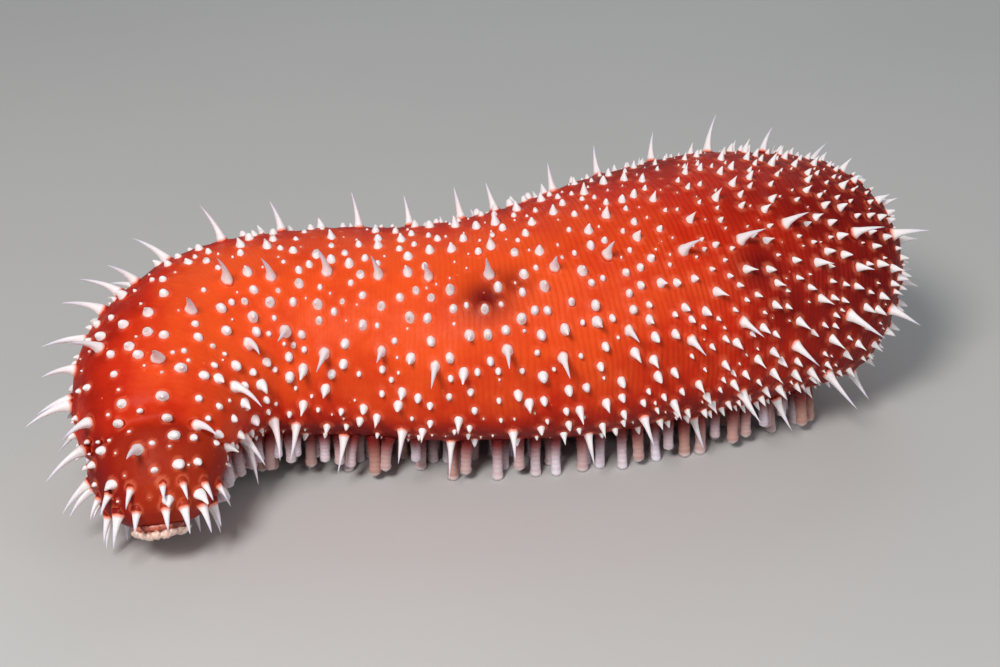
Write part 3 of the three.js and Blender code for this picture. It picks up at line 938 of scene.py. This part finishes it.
def build_mouth():
    """The mouth's disc with a ring of short tentacles, each with a crown of small knobs."""
    _, centres, alongs, backs, near_sides = axis_frames(ORAL_START)
    centre, forward, back, side = centres[0], -alongs[0], backs[0], near_sides[0]
    gathered = Gathered()
    angle = angles_round(MOUTH_SIDES)
    crimp = 1 + CRIMP_DEPTH * np.cos(MOUTH_CRIMPS * angle)
    circle = (np.cos(angle)[:, None] * back + np.sin(angle)[:, None] * side) * crimp[:, None]
    rings = np.array([centre + forward * out + circle * radius for out, radius in MOUTH_PROFILE])
    tipward = per_ring(np.linspace(0, 0.6, len(MOUTH_PROFILE)), MOUTH_SIDES, 0.0)
    gathered.add(rings, centre - forward * MOUTH_DEPTH, {"tipward": tipward})
    for k in range(TENTACLE_COUNT):
        turn = 2 * math.pi * (k + 0.25 * draw(k, 51)) / TENTACLE_COUNT
        outward = back * math.cos(turn) + side * math.sin(turn)
        root = centre + outward * TENTACLE_RING + forward * TENTACLE_OUT
        lean = unit(forward + outward * (0.5 + 0.35 * draw(k, 52)))
        room = (root[2] - FLOOR_CLEARANCE - TENTACLE_OUT) / max(-lean[2], 0.1)
        length = min(TENTACLE_LENGTH * (0.8 + 0.35 * draw(k, 53)), room)
        gathered.add(*tentacle(root, lean, length, k))
    return gathered.make("mouth_tentacles")


# Nodes that the materials share

def node(tree, kind, inputs=None, **settings):
    """Adds a node; inputs maps an input's name or number to a value or to a socket to link."""
    made = tree.nodes.new(kind)
    for key, value in settings.items():
        setattr(made, key, value)
    for key, value in (inputs or {}).items():
        if isinstance(value, bpy.types.NodeSocket):
            tree.links.new(value, made.inputs[key])
        else:
            made.inputs[key].default_value = value
    return made


def attribute(tree, name):
    """The value that the mesh carries under a name."""
    return node(tree, "ShaderNodeAttribute", attribute_name=name).outputs["Fac"]


def object_place(tree):
    """The place in the object's own frame."""
    return node(tree, "ShaderNodeTexCoord").outputs["Object"]


def math_node(tree, operation, *values):
    """One sum of sockets and numbers."""
    return node(tree, "ShaderNodeMath", dict(enumerate(values)), operation=operation).outputs[0]


def product(tree, first, *others):
    """Product of sockets and numbers."""
    for other in others:
        first = math_node(tree, "MULTIPLY", first, other)
    return first


def fade(tree, value, low, high, to_low=0.0, to_high=1.0):
    """Smooth change of value from low to high."""
    inputs = {"Value": value, "From Min": low, "From Max": high, "To Min": to_low, "To Max": to_high}
    return node(tree, "ShaderNodeMapRange", inputs, interpolation_type="SMOOTHSTEP").outputs["Result"]


def mix_colour(tree, factor, a, b):
    """Colour a, and b where the factor is 1; each is a socket or three numbers."""
    a, b = (x if isinstance(x, bpy.types.NodeSocket) else (*x, 1.0) for x in (a, b))
    return node(tree, "ShaderNodeMix", {0: factor, 6: a, 7: b}, data_type="RGBA").outputs[2]


def noise(tree, scale, detail=3.0, roughness=0.5):
    """Soft noise, with its scale per metre."""
    inputs = {"Vector": object_place(tree), "Scale": scale, "Detail": detail, "Roughness": roughness}
    return node(tree, "ShaderNodeTexNoise", inputs).outputs["Fac"]


def cells(tree, scale):
    """A node of cells, with their scale per metre."""
    return node(tree, "ShaderNodeTexVoronoi", {"Vector": object_place(tree), "Scale": scale})


def new_group(name, inputs, outputs):
    """An empty shader node group with named sockets."""
    tree = bpy.data.node_groups.new(name, "ShaderNodeTree")
    for socket_name, default in inputs:
        socket = tree.interface.new_socket(name=socket_name, in_out="INPUT", socket_type="NodeSocketFloat")
        socket.default_value = default
    for socket_name, kind in outputs:
        tree.interface.new_socket(name=socket_name, in_out="OUTPUT", socket_type=kind)
    return tree, tree.nodes.new("NodeGroupInput"), tree.nodes.new("NodeGroupOutput")


def group_node(tree, name, build, *settings, **inputs):
    """A node of a shared group, which is built when it is first asked for."""
    made = tree.nodes.new("ShaderNodeGroup")
    made.node_tree = bpy.data.node_groups.get(name) or build(name, *settings)
    for key, value in inputs.items():
        made.inputs[key].default_value = value
    return made


def body_colour_group(name, settings):
    """Colour of the body wall, with painted light and shade in it, and the height of its fine ring wrinkles,
    from the place on the body.
    """
    outputs = (("Colour", "NodeSocketColor"), ("Wrinkles", "NodeSocketFloat"))
    tree, _, out = new_group(name, (), outputs)
    place, turn, blotch = (attribute(tree, key) for key in ("place", "turn", "blotch"))
    broad = noise(tree, 55.0, 3.0, 0.55)
    patchy = noise(tree, 170.0, 4.0, 0.6)

    # Tone from dark to bright: partly painted light, brightest on the side of the back where the light falls
    # and darker towards both ends where it falls off, partly the wall's own tone
    facing = math_node(tree, "COSINE", math_node(tree, "SUBTRACT", turn, PAINTED_LIGHT_SIDE))
    front = fade(tree, place, 20.0, 70.0, 0.75, 1.0)
    rear = fade(tree, place, 150.0, 250.0, 1.0, 0.0)
    lit = product(tree, fade(tree, facing, 0.12, 0.98), front, rear)
    tone = math_node(tree, "MULTIPLY_ADD", lit, 0.66, 0.2)
    for uneven, depth, level in ((broad, 0.9, -0.47), (patchy, 0.34, -0.17)):
        tone = math_node(tree, "ADD", tone, math_node(tree, "MULTIPLY_ADD", uneven, depth, level))
    ramp = node(tree, "ShaderNodeValToRGB", {"Fac": tone})
    stops = ramp.color_ramp.elements
    stops[1].position = 0.85
    stops.new(0.4)
    for stop, colour in zip(stops, (settings.deep_colour, settings.middle_colour, settings.bright_colour)):
        stop.color = (*colour, 1)

    # Crimson ends and sole: painted shade on the sole, which faces the floor, and at the rear, where the
    # light falls off, partly the ends' own crimson; then the blotches
    sole = fade(tree, math_node(tree, "COSINE", turn), -0.2, -0.75)
    lobe = fade(tree, math_node(tree, "MULTIPLY_ADD", broad, 6.0, place), 27.5, 23.0, 0.0, 0.8)
    ends = math_node(tree, "MAXIMUM", fade(tree, place, 205.0, 275.0), lobe)
    crimson = product(tree, math_node(tree, "MAXIMUM", ends, sole), 0.8)
    colour = mix_colour(tree, crimson, ramp.outputs["Color"], settings.crimson_and_shade_colour)
    colour = mix_colour(tree, blotch, colour, settings.blotch_colour)

    # Fine broken lines round the body, deeper towards the rear
    slant = product(tree, math_node(tree, "SINE", math_node(tree, "ADD", turn, -0.4)), 1.4)
    wandering = math_node(tree, "MULTIPLY_ADD", noise(tree, 45.0, 2.0), 4.0, place)
    phase = product(tree, math_node(tree, "ADD", wandering, slant), 2 * math.pi / WRINKLE_PITCH)
    wave = math_node(tree, "MULTIPLY_ADD", math_node(tree, "SINE", phase), 0.5, 0.5)
    lines = math_node(tree, "POWER", wave, 2.0)
    broken = fade(tree, noise(tree, 110.0, 3.0), 0.25, 0.75, 0.25, 1.0)
    depth = fade(tree, place, 110.0, 235.0, 0.14, 1.0)
    wrinkles = product(tree, lines, broken, depth)
    # Darker where the wrinkles are grooves in the bump: painted shade in the grooves
    colour = mix_colour(tree, product(tree, wrinkles, 0.42), colour, settings.deep_colour)
    tree.links.new(colour, out.inputs["Colour"])
    tree.links.new(wrinkles, out.inputs["Wrinkles"])
    return tree


def wet_grain_group(name):
    """Fine uneven surface of wet flesh: a height and a roughness that vary."""
    inputs = (("Grain", 700.0), ("Rough", 0.4), ("Vary", 0.15))
    outputs = (("Height", "NodeSocketFloat"), ("Roughness", "NodeSocketFloat"))
    tree, given, out = new_group(name, inputs, outputs)
    grain, rough, vary = (given.outputs[key] for key, _ in inputs)
    fine = noise(tree, grain, 4.0, 0.6)
    pebbles = cells(tree, product(tree, grain, 0.75)).outputs["Distance"]
    height = math_node(tree, "MULTIPLY_ADD", pebbles, 0.5, fine)
    spread = math_node(tree, "SUBTRACT", noise(tree, 130.0, 3.0), 0.5)
    tree.links.new(height, out.inputs["Height"])
    tree.links.new(math_node(tree, "MULTIPLY_ADD", spread, vary, rough), out.inputs["Roughness"])
    return tree


def body_colour(tree, settings):
    """The shared colour of the body wall in a material."""
    return group_node(tree, "Body colour", body_colour_group, settings)


def wet_grain(tree, grain, rough, vary):
    """The shared grain of wet flesh in a material."""
    return group_node(tree, "Wet grain", wet_grain_group, Grain=grain, Rough=rough, Vary=vary)


# Materials

def new_material(name):
    """A material with a bare principled shader, its node tree and that shader."""
    material = bpy.data.materials.new(name)
    material.use_nodes = True
    tree = material.node_tree
    tree.nodes.clear()
    shader = tree.nodes.new("ShaderNodeBsdfPrincipled")
    output = tree.nodes.new("ShaderNodeOutputMaterial")
    tree.links.new(shader.outputs[0], output.inputs["Surface"])
    return material, tree, shader


def finish_flesh(tree, shader, colour, grain, bumps, scatter, specular, coat=0.0):
    """Links colour, roughness and bumps, and sets the plain values of flesh that lets some light through.

    Each bump is a strength, a distance and a height; scatter is a weight and a scale.
    """
    tree.links.new(colour, shader.inputs["Base Color"])
    tree.links.new(grain.outputs["Roughness"], shader.inputs["Roughness"])
    given = {}
    for strength, distance, height in bumps:
        inputs = {"Strength": strength, "Distance": distance, "Height": height, **given}
        given = {"Normal": node(tree, "ShaderNodeBump", inputs).outputs[0]}
    tree.links.new(given["Normal"], shader.inputs["Normal"])
    plain = {
        "Subsurface Weight": scatter[0],
        "Subsurface Radius": FLESH_SCATTER,
        "Subsurface Scale": scatter[1],
        "Coat Weight": coat,
        "Coat Roughness": COAT_ROUGHNESS,
        "Specular IOR Level": specular,
    }
    for key, value in plain.items():
        shader.inputs[key].default_value = value


def skin_material(settings):
    """Body wall: fine wrinkles, a few pale specks and a pale edge round each papilla."""
    material, tree, shader = new_material("skin_flesh")
    body = body_colour(tree, settings)
    grain = wet_grain(tree, 750.0, 0.48, 0.25)
    halo = product(tree, attribute(tree, "halo"), 0.4)
    colour = mix_colour(tree, halo, body.outputs["Colour"], settings.halo_colour)
    specks = cells(tree, 260.0)
    speck = fade(tree, specks.outputs["Distance"], 0.1, 0.06)
    chance = node(tree, "ShaderNodeSeparateColor", {"Color": specks.outputs["Color"]}).outputs[0]
    speck = product(tree, speck, fade(tree, chance, 0.8, 0.84), 0.55)
    colour = mix_colour(tree, speck, colour, settings.halo_colour)
    smooth = math_node(tree, "SUBTRACT", 1.0, body.outputs["Wrinkles"])
    bumps = ((0.4, 0.0004, smooth), (0.35, 0.0003, grain.outputs["Height"]))
    finish_flesh(tree, shader, colour, grain, bumps, (0.08, 0.002), 0.12)
    return material


def papilla_material(settings, name, white_from, white_to, tips_share):
    """White papillae: skin colour at the very foot, a pink edge, white above and bluish, thinner tips, whose
    bluish tone is partly painted shade.
    """
    material, tree, shader = new_material(name)
    body = body_colour(tree, settings)
    grain = wet_grain(tree, 1500.0, 0.4, 0.2)
    tipward = attribute(tree, "tipward")
    ragged = math_node(tree, "MULTIPLY_ADD", noise(tree, 900.0, 2.0), 0.5, -0.25)
    height = math_node(tree, "ADD", attribute(tree, "lift"), ragged)
    edge = fade(tree, height, white_from - 0.2, white_from + 0.2)
    colour = mix_colour(tree, edge, body.outputs["Colour"], settings.halo_colour)
    mottle = fade(tree, noise(tree, 1100.0, 3.0), 0.4, 0.75, 0.0, 0.35)
    pale = mix_colour(tree, mottle, settings.papilla_colour, settings.papilla_shade)
    colour = mix_colour(tree, fade(tree, height, white_from, white_to), colour, pale)
    chosen = fade(tree, attribute(tree, "variety"), 0.72, 0.78)
    marked = product(tree, fade(tree, tipward, 0.8, 0.93), chosen, 0.55)
    colour = mix_colour(tree, marked, colour, settings.speck_colour)
    # Bluish tips: partly the thin tips' own tone and partly painted shade, strongest on the long papillae
    tips = fade(tree, tipward, 0.35, 1.0, 0.0, tips_share)
    colour = mix_colour(tree, tips, colour, settings.tip_and_shade_colour)
    bumps = ((0.25, 0.0002, grain.outputs["Height"]),)
    finish_flesh(tree, shader, colour, grain, bumps, (0.2, 0.001), 0.2)
    return material


def foot_material(settings):
    """Tube feet: pale tubes that darken towards the skin, ringed with faint wrinkles, some painted darker as
    painted shade.
    """
    material, tree, shader = new_material("tube_foot_flesh")
    body = body_colour(tree, settings)
    grain = wet_grain(tree, 1300.0, 0.38, 0.2)
    tipward = attribute(tree, "tipward")
    # Feet drawn towards the darker colour by their variety are painted shade
    pale = mix_colour(tree, attribute(tree, "variety"), settings.foot_colour, settings.foot_painted_shade)
    wave = math_node(tree, "SINE", product(tree, tipward, 55.0))
    rings = math_node(tree, "MULTIPLY_ADD", wave, 0.5, 0.5)
    pale = mix_colour(tree, product(tree, rings, 0.16), pale, settings.foot_painted_shade)
    colour = mix_colour(tree, fade(tree, tipward, 0.08, 0.8), body.outputs["Colour"], pale)
    disc = fade(tree, tipward, 0.86, 0.97, 0.0, 0.6)
    colour = mix_colour(tree, disc, colour, settings.foot_disc_colour)
    bumps = ((0.3, 0.0003, rings), (0.2, 0.0002, grain.outputs["Height"]))
    finish_flesh(tree, shader, colour, grain, bumps, (0.3, 0.0015), 0.3)
    return material


def mouth_material(settings):
    """Mouth: pinkish disc and tentacles, paler at the crowns."""
    material, tree, shader = new_material("mouth_flesh")
    grain = wet_grain(tree, 1400.0, 0.36, 0.2)
    mottle = fade(tree, noise(tree, 700.0, 3.0), 0.35, 0.7)
    base = mix_colour(tree, mottle, settings.mouth_colour, settings.crimson_and_shade_colour)
    crown = fade(tree, attribute(tree, "tipward"), 0.3, 0.8)
    colour = mix_colour(tree, crown, base, settings.mouth_pale_colour)
    bumps = ((0.3, 0.0002, grain.outputs["Height"]),)
    finish_flesh(tree, shader, colour, grain, bumps, (0.25, 0.0012), 0.5, 0.15)
    return material


def floor_material(settings):
    """Plain pale floor, slightly uneven in tone."""
    material, tree, shader = new_material("pale_floor")
    tone = fade(tree, noise(tree, 6.0, 2.0), 0.3, 0.7, 0.0, 0.3)
    colour = mix_colour(tree, tone, settings.floor_colour, settings.floor_shade)
    tree.links.new(colour, shader.inputs["Base Color"])
    shader.inputs["Roughness"].default_value = 0.75
    return material


# Stage

def add_floor(settings):
    """A plain square floor at the level that the animal rests on."""
    half = FLOOR_SIZE / 2
    corners = [(-half, -half, 0), (half, -half, 0), (half, half, 0), (-half, half, 0)]
    mesh = bpy.data.meshes.new("floor")
    mesh.from_pydata(corners, [], [(0, 1, 2, 3)])
    floor = bpy.data.objects.new("floor", mesh)
    bpy.context.collection.objects.link(floor)
    mesh.materials.append(floor_material(settings))


def add_lights(context):
    """Soft round lights and a faint sky."""
    for name, place, size, power, colour in LIGHTS:
        data = bpy.data.lights.new(name, "AREA")
        data.shape = "DISK"
        data.size = size
        data.energy = power
        data.color = colour
        light = bpy.data.objects.new(name, data)
        light.location = place
        light.rotation_euler = (Vector(LIGHT_AIM) - Vector(place)).to_track_quat("-Z", "Y").to_euler()
        context.collection.objects.link(light)
    world = bpy.data.worlds.new("soft_studio")
    world.use_nodes = True
    background = world.node_tree.nodes["Background"]
    background.inputs["Color"].default_value = SKY_COLOUR
    background.inputs["Strength"].default_value = SKY_STRENGTH
    context.scene.world = world
    context.scene.view_settings.view_transform = "Standard"


def add_camera(context, settings):
    """The camera that frames the animal as the photo does."""
    target = Vector((BODY_SHIFT[0] * MM, BODY_SHIFT[1] * MM, settings.aim_height))
    away = Vector((0, -math.cos(settings.camera_elevation), math.sin(settings.camera_elevation)))
    data = bpy.data.cameras.new("camera")
    data.lens = settings.lens
    data.sensor_width = SENSOR_WIDTH
    data.clip_start = CLIP_START
    camera = bpy.data.objects.new("camera", data)
    camera.location = target + away * settings.camera_distance
    camera.rotation_euler = (-away).to_track_quat("-Z", "Y").to_euler()
    context.collection.objects.link(camera)
    context.scene.camera = camera


# Settings, operators and panel

def colour_property(name, description, default):
    """A colour that a user can change."""
    return FloatVectorProperty(
        name=name, description=description, default=default, subtype="COLOR", min=0, max=1,
    )


def length_property(name, description, default, low, high):
    """A length in metres that a user can change."""
    return FloatProperty(
        name=name, description=description, default=default, unit="LENGTH", min=low, max=high,
    )


def sides_property(name, default):
    """How many sides each form of a kind has."""
    return IntProperty(
        name=f"{name} sides", description=f"Sides of a {name.lower()}", default=default, min=6, max=32,
    )


class SeaCucumberFlesh(bpy.types.PropertyGroup):
    """Colours and folds of the flesh."""

    # Bright, middle and deep hold painted light and shade as well as the body wall's own tone; deep also
    # paints shade into the wrinkles' grooves
    bright_colour: colour_property("Bright", "Body wall where it is brightest", (0.84, 0.085, 0.012))
    middle_colour: colour_property("Middle", "Body wall in between", (0.6, 0.024, 0.004))
    deep_colour: colour_property("Deep", "Body wall where it is darkest", (0.26, 0.005, 0.002))
    # The crimson of the ends and sole is partly painted shade: on the sole, which faces the floor, and at
    # the rear
    crimson_and_shade_colour: colour_property("Crimson", "Ends and sole of the body", (0.15, 0.003, 0.003))
    blotch_colour: colour_property("Blotch", "Dark blotches on the back", (0.15, 0.0003, 0.0003))
    halo_colour: colour_property("Halo", "Edge of the skin round each papilla", (0.9, 0.2, 0.1))
    papilla_colour: colour_property("Papilla", "White of the papillae", (0.95, 0.91, 0.92))
    papilla_shade: colour_property("Papilla shade", "Mottling of the papillae", (0.9, 0.77, 0.8))
    # The tip colour is partly painted shade
    tip_and_shade_colour: colour_property("Tip", "Tips of the papillae", (0.62, 0.6, 0.76))
    speck_colour: colour_property("Speck", "Small specks at the top of some papillae", (0.42, 0.26, 0.18))
    foot_colour: colour_property("Tube foot", "Tube feet", (0.82, 0.76, 0.86))
    # The darker tube feet are painted shade
    foot_painted_shade: colour_property("Tube foot shade", "Darker tube feet", (0.5, 0.27, 0.22))
    foot_disc_colour: colour_property("Foot disc", "End discs of the tube feet", (0.88, 0.82, 0.84))
    mouth_colour: colour_property("Mouth", "Disc round the mouth", (0.6, 0.16, 0.1))
    mouth_pale_colour: colour_property("Tentacle crown", "Crowns of the tentacles", (0.86, 0.62, 0.52))
    fold_depth: length_property("Fold depth", "Depth of the soft ring folds", 0.00009, 0, 0.002)


class SeaCucumberForms(bpy.types.PropertyGroup):
    """How finely the papillae and tube feet are made."""

    large_sides: sides_property("Large papilla", 20)
    medium_sides: sides_property("Medium papilla", 16)
    small_sides: sides_property("Small papilla", 12)
    foot_sides: sides_property("Tube foot", 16)


class SeaCucumberStage(bpy.types.PropertyGroup):
    """Floor, lights and camera."""

    floor_colour: colour_property("Floor", "Pale floor", (0.58, 0.58, 0.57))
    floor_shade: colour_property("Floor shade", "Slightly darker floor", (0.53, 0.53, 0.52))
    camera_distance: length_property("Camera distance", "From the camera to its aim", 0.625, 0.2, 3)
    camera_elevation: FloatProperty(
        name="Camera elevation",
        description="Angle above the floor",
        default=math.radians(27),
        subtype="ANGLE",
    )
    lens: FloatProperty(
        name="Lens", description="Focal length in millimetres", default=75.0, min=20, max=200,
    )
    aim_height: length_property("Aim height", "Height that the camera looks at", 0.035, 0, 1)


def finish_piece(piece, slot, material, *nodes):
    """Gives a piece its material, hides the parts that it replaces, and lets it ride on the body; the slot
    is not used.
    """
    piece.data.materials.append(material)
    if nodes:
        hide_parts(*nodes)
    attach(piece, BODY)


class SEACUCUMBER_OT_stage(bpy.types.Operator):
    """Set up the floor, the soft lights and the camera"""

    bl_idname = "seacucumber.stage"
    bl_label = "Stage"

    def execute(self, context):
        settings = context.scene.sea_cucumber_stage
        add_floor(settings)
        add_lights(context)
        add_camera(context, settings)
        return {"FINISHED"}


class SEACUCUMBER_OT_skin(bpy.types.Operator):
    """Build the seamless skin in place of the body's lengths"""

    bl_idname = "seacucumber.skin"
    bl_label = "Skin"

    def execute(self, context):
        settings = context.scene.sea_cucumber_flesh
        papillae = [papilla for group in all_papillae().values() for papilla in group]
        finish_piece(build_skin(settings, papillae), "skin", skin_material(settings), *SKIN_NODES)
        return {"FINISHED"}


class SEACUCUMBER_OT_papillae(bpy.types.Operator):
    """Build the large, medium, small and tiny papillae"""

    bl_idname = "seacucumber.papillae"
    bl_label = "Papillae"

    def execute(self, context):
        forms = context.scene.sea_cucumber_forms
        settings = context.scene.sea_cucumber_flesh
        finger = papilla_material(settings, "long_papilla_flesh", 0.45, 1.5, 0.65)
        button = papilla_material(settings, "button_papilla_flesh", 0.1, 0.55, 0.1)
        dot = papilla_material(settings, "dot_papilla_flesh", 0.0, 0.3, 0.0)
        looks = {
            "large_papillae": (forms.large_sides, 20, large_profile, finger),
            "medium_papillae": (forms.medium_sides, 14, button_profile, button),
            "small_papillae": (forms.small_sides, 10, dome_profile, button),
            "tiny_papillae": (forms.small_sides, 5, dome_profile, dot),
        }
        for name, papillae in all_papillae().items():
            if not papillae:
                raise RuntimeError(f"no places were found for {name}")
            *shape, material = looks[name]
            finish_piece(build_papillae(name, papillae, *shape), "papillae", material)
        return {"FINISHED"}


class SEACUCUMBER_OT_tube_feet(bpy.types.Operator):
    """Build the tube feet along the sole"""

    bl_idname = "seacucumber.tube_feet"
    bl_label = "Tube feet"

    def execute(self, context):
        standing = feet_places(FOOT_ROWS, 10, 1, clear_of_cuts)
        extra = feet_places(EXTRA_FOOT_ROWS, 12, EXTRA_FOOT_SHARE, float)
        sides = context.scene.sea_cucumber_forms.foot_sides
        material = foot_material(context.scene.sea_cucumber_flesh)
        finish_piece(build_feet("tube_feet", [*standing, *extra], sides, FOOT_STEPS), "tube_feet", material)
        return {"FINISHED"}


class SEACUCUMBER_OT_mouth(bpy.types.Operator):
    """Build the mouth's disc and tentacles in place of the plain mouth"""

    bl_idname = "seacucumber.mouth"
    bl_label = "Mouth"

    def execute(self, context):
        finish_piece(build_mouth(), "mouth", mouth_material(context.scene.sea_cucumber_flesh), "mouth")
        return {"FINISHED"}


class SEACUCUMBER_PT_panel(bpy.types.Panel):
    """Lists the pieces and their settings"""

    bl_label = "Sea cucumber"
    bl_idname = "SEACUCUMBER_PT_panel"
    bl_space_type = "VIEW_3D"
    bl_region_type = "UI"
    bl_category = "Sea cucumber"

    def draw(self, context):
        for name in OPERATORS:
            self.layout.operator(f"seacucumber.{name}")
        for name in SETTINGS:
            group = getattr(context.scene, name)
            for key in group.bl_rna.properties.keys():
                if key not in {"rna_type", "name"}:
                    self.layout.prop(group, key)


SETTINGS = {
    "sea_cucumber_flesh": SeaCucumberFlesh,
    "sea_cucumber_forms": SeaCucumberForms,
    "sea_cucumber_stage": SeaCucumberStage,
}
OPERATORS = ("stage", "skin", "papillae", "tube_feet", "mouth")
CLASSES = (
    *SETTINGS.values(),
    SEACUCUMBER_OT_stage,
    SEACUCUMBER_OT_skin,
    SEACUCUMBER_OT_papillae,
    SEACUCUMBER_OT_tube_feet,
    SEACUCUMBER_OT_mouth,
    SEACUCUMBER_PT_panel,
)


def register():
    for cls in CLASSES:
        bpy.utils.register_class(cls)
    for name, group in SETTINGS.items():
        setattr(bpy.types.Scene, name, PointerProperty(type=group))


def unregister():
    for name in SETTINGS:
        delattr(bpy.types.Scene, name)
    for cls in reversed(CLASSES):
        bpy.utils.unregister_class(cls)


def main():
    """Builds every piece in order."""
    register()
    for name in OPERATORS:
        getattr(bpy.ops.seacucumber, name)()


if __name__ == "__main__":
    main()
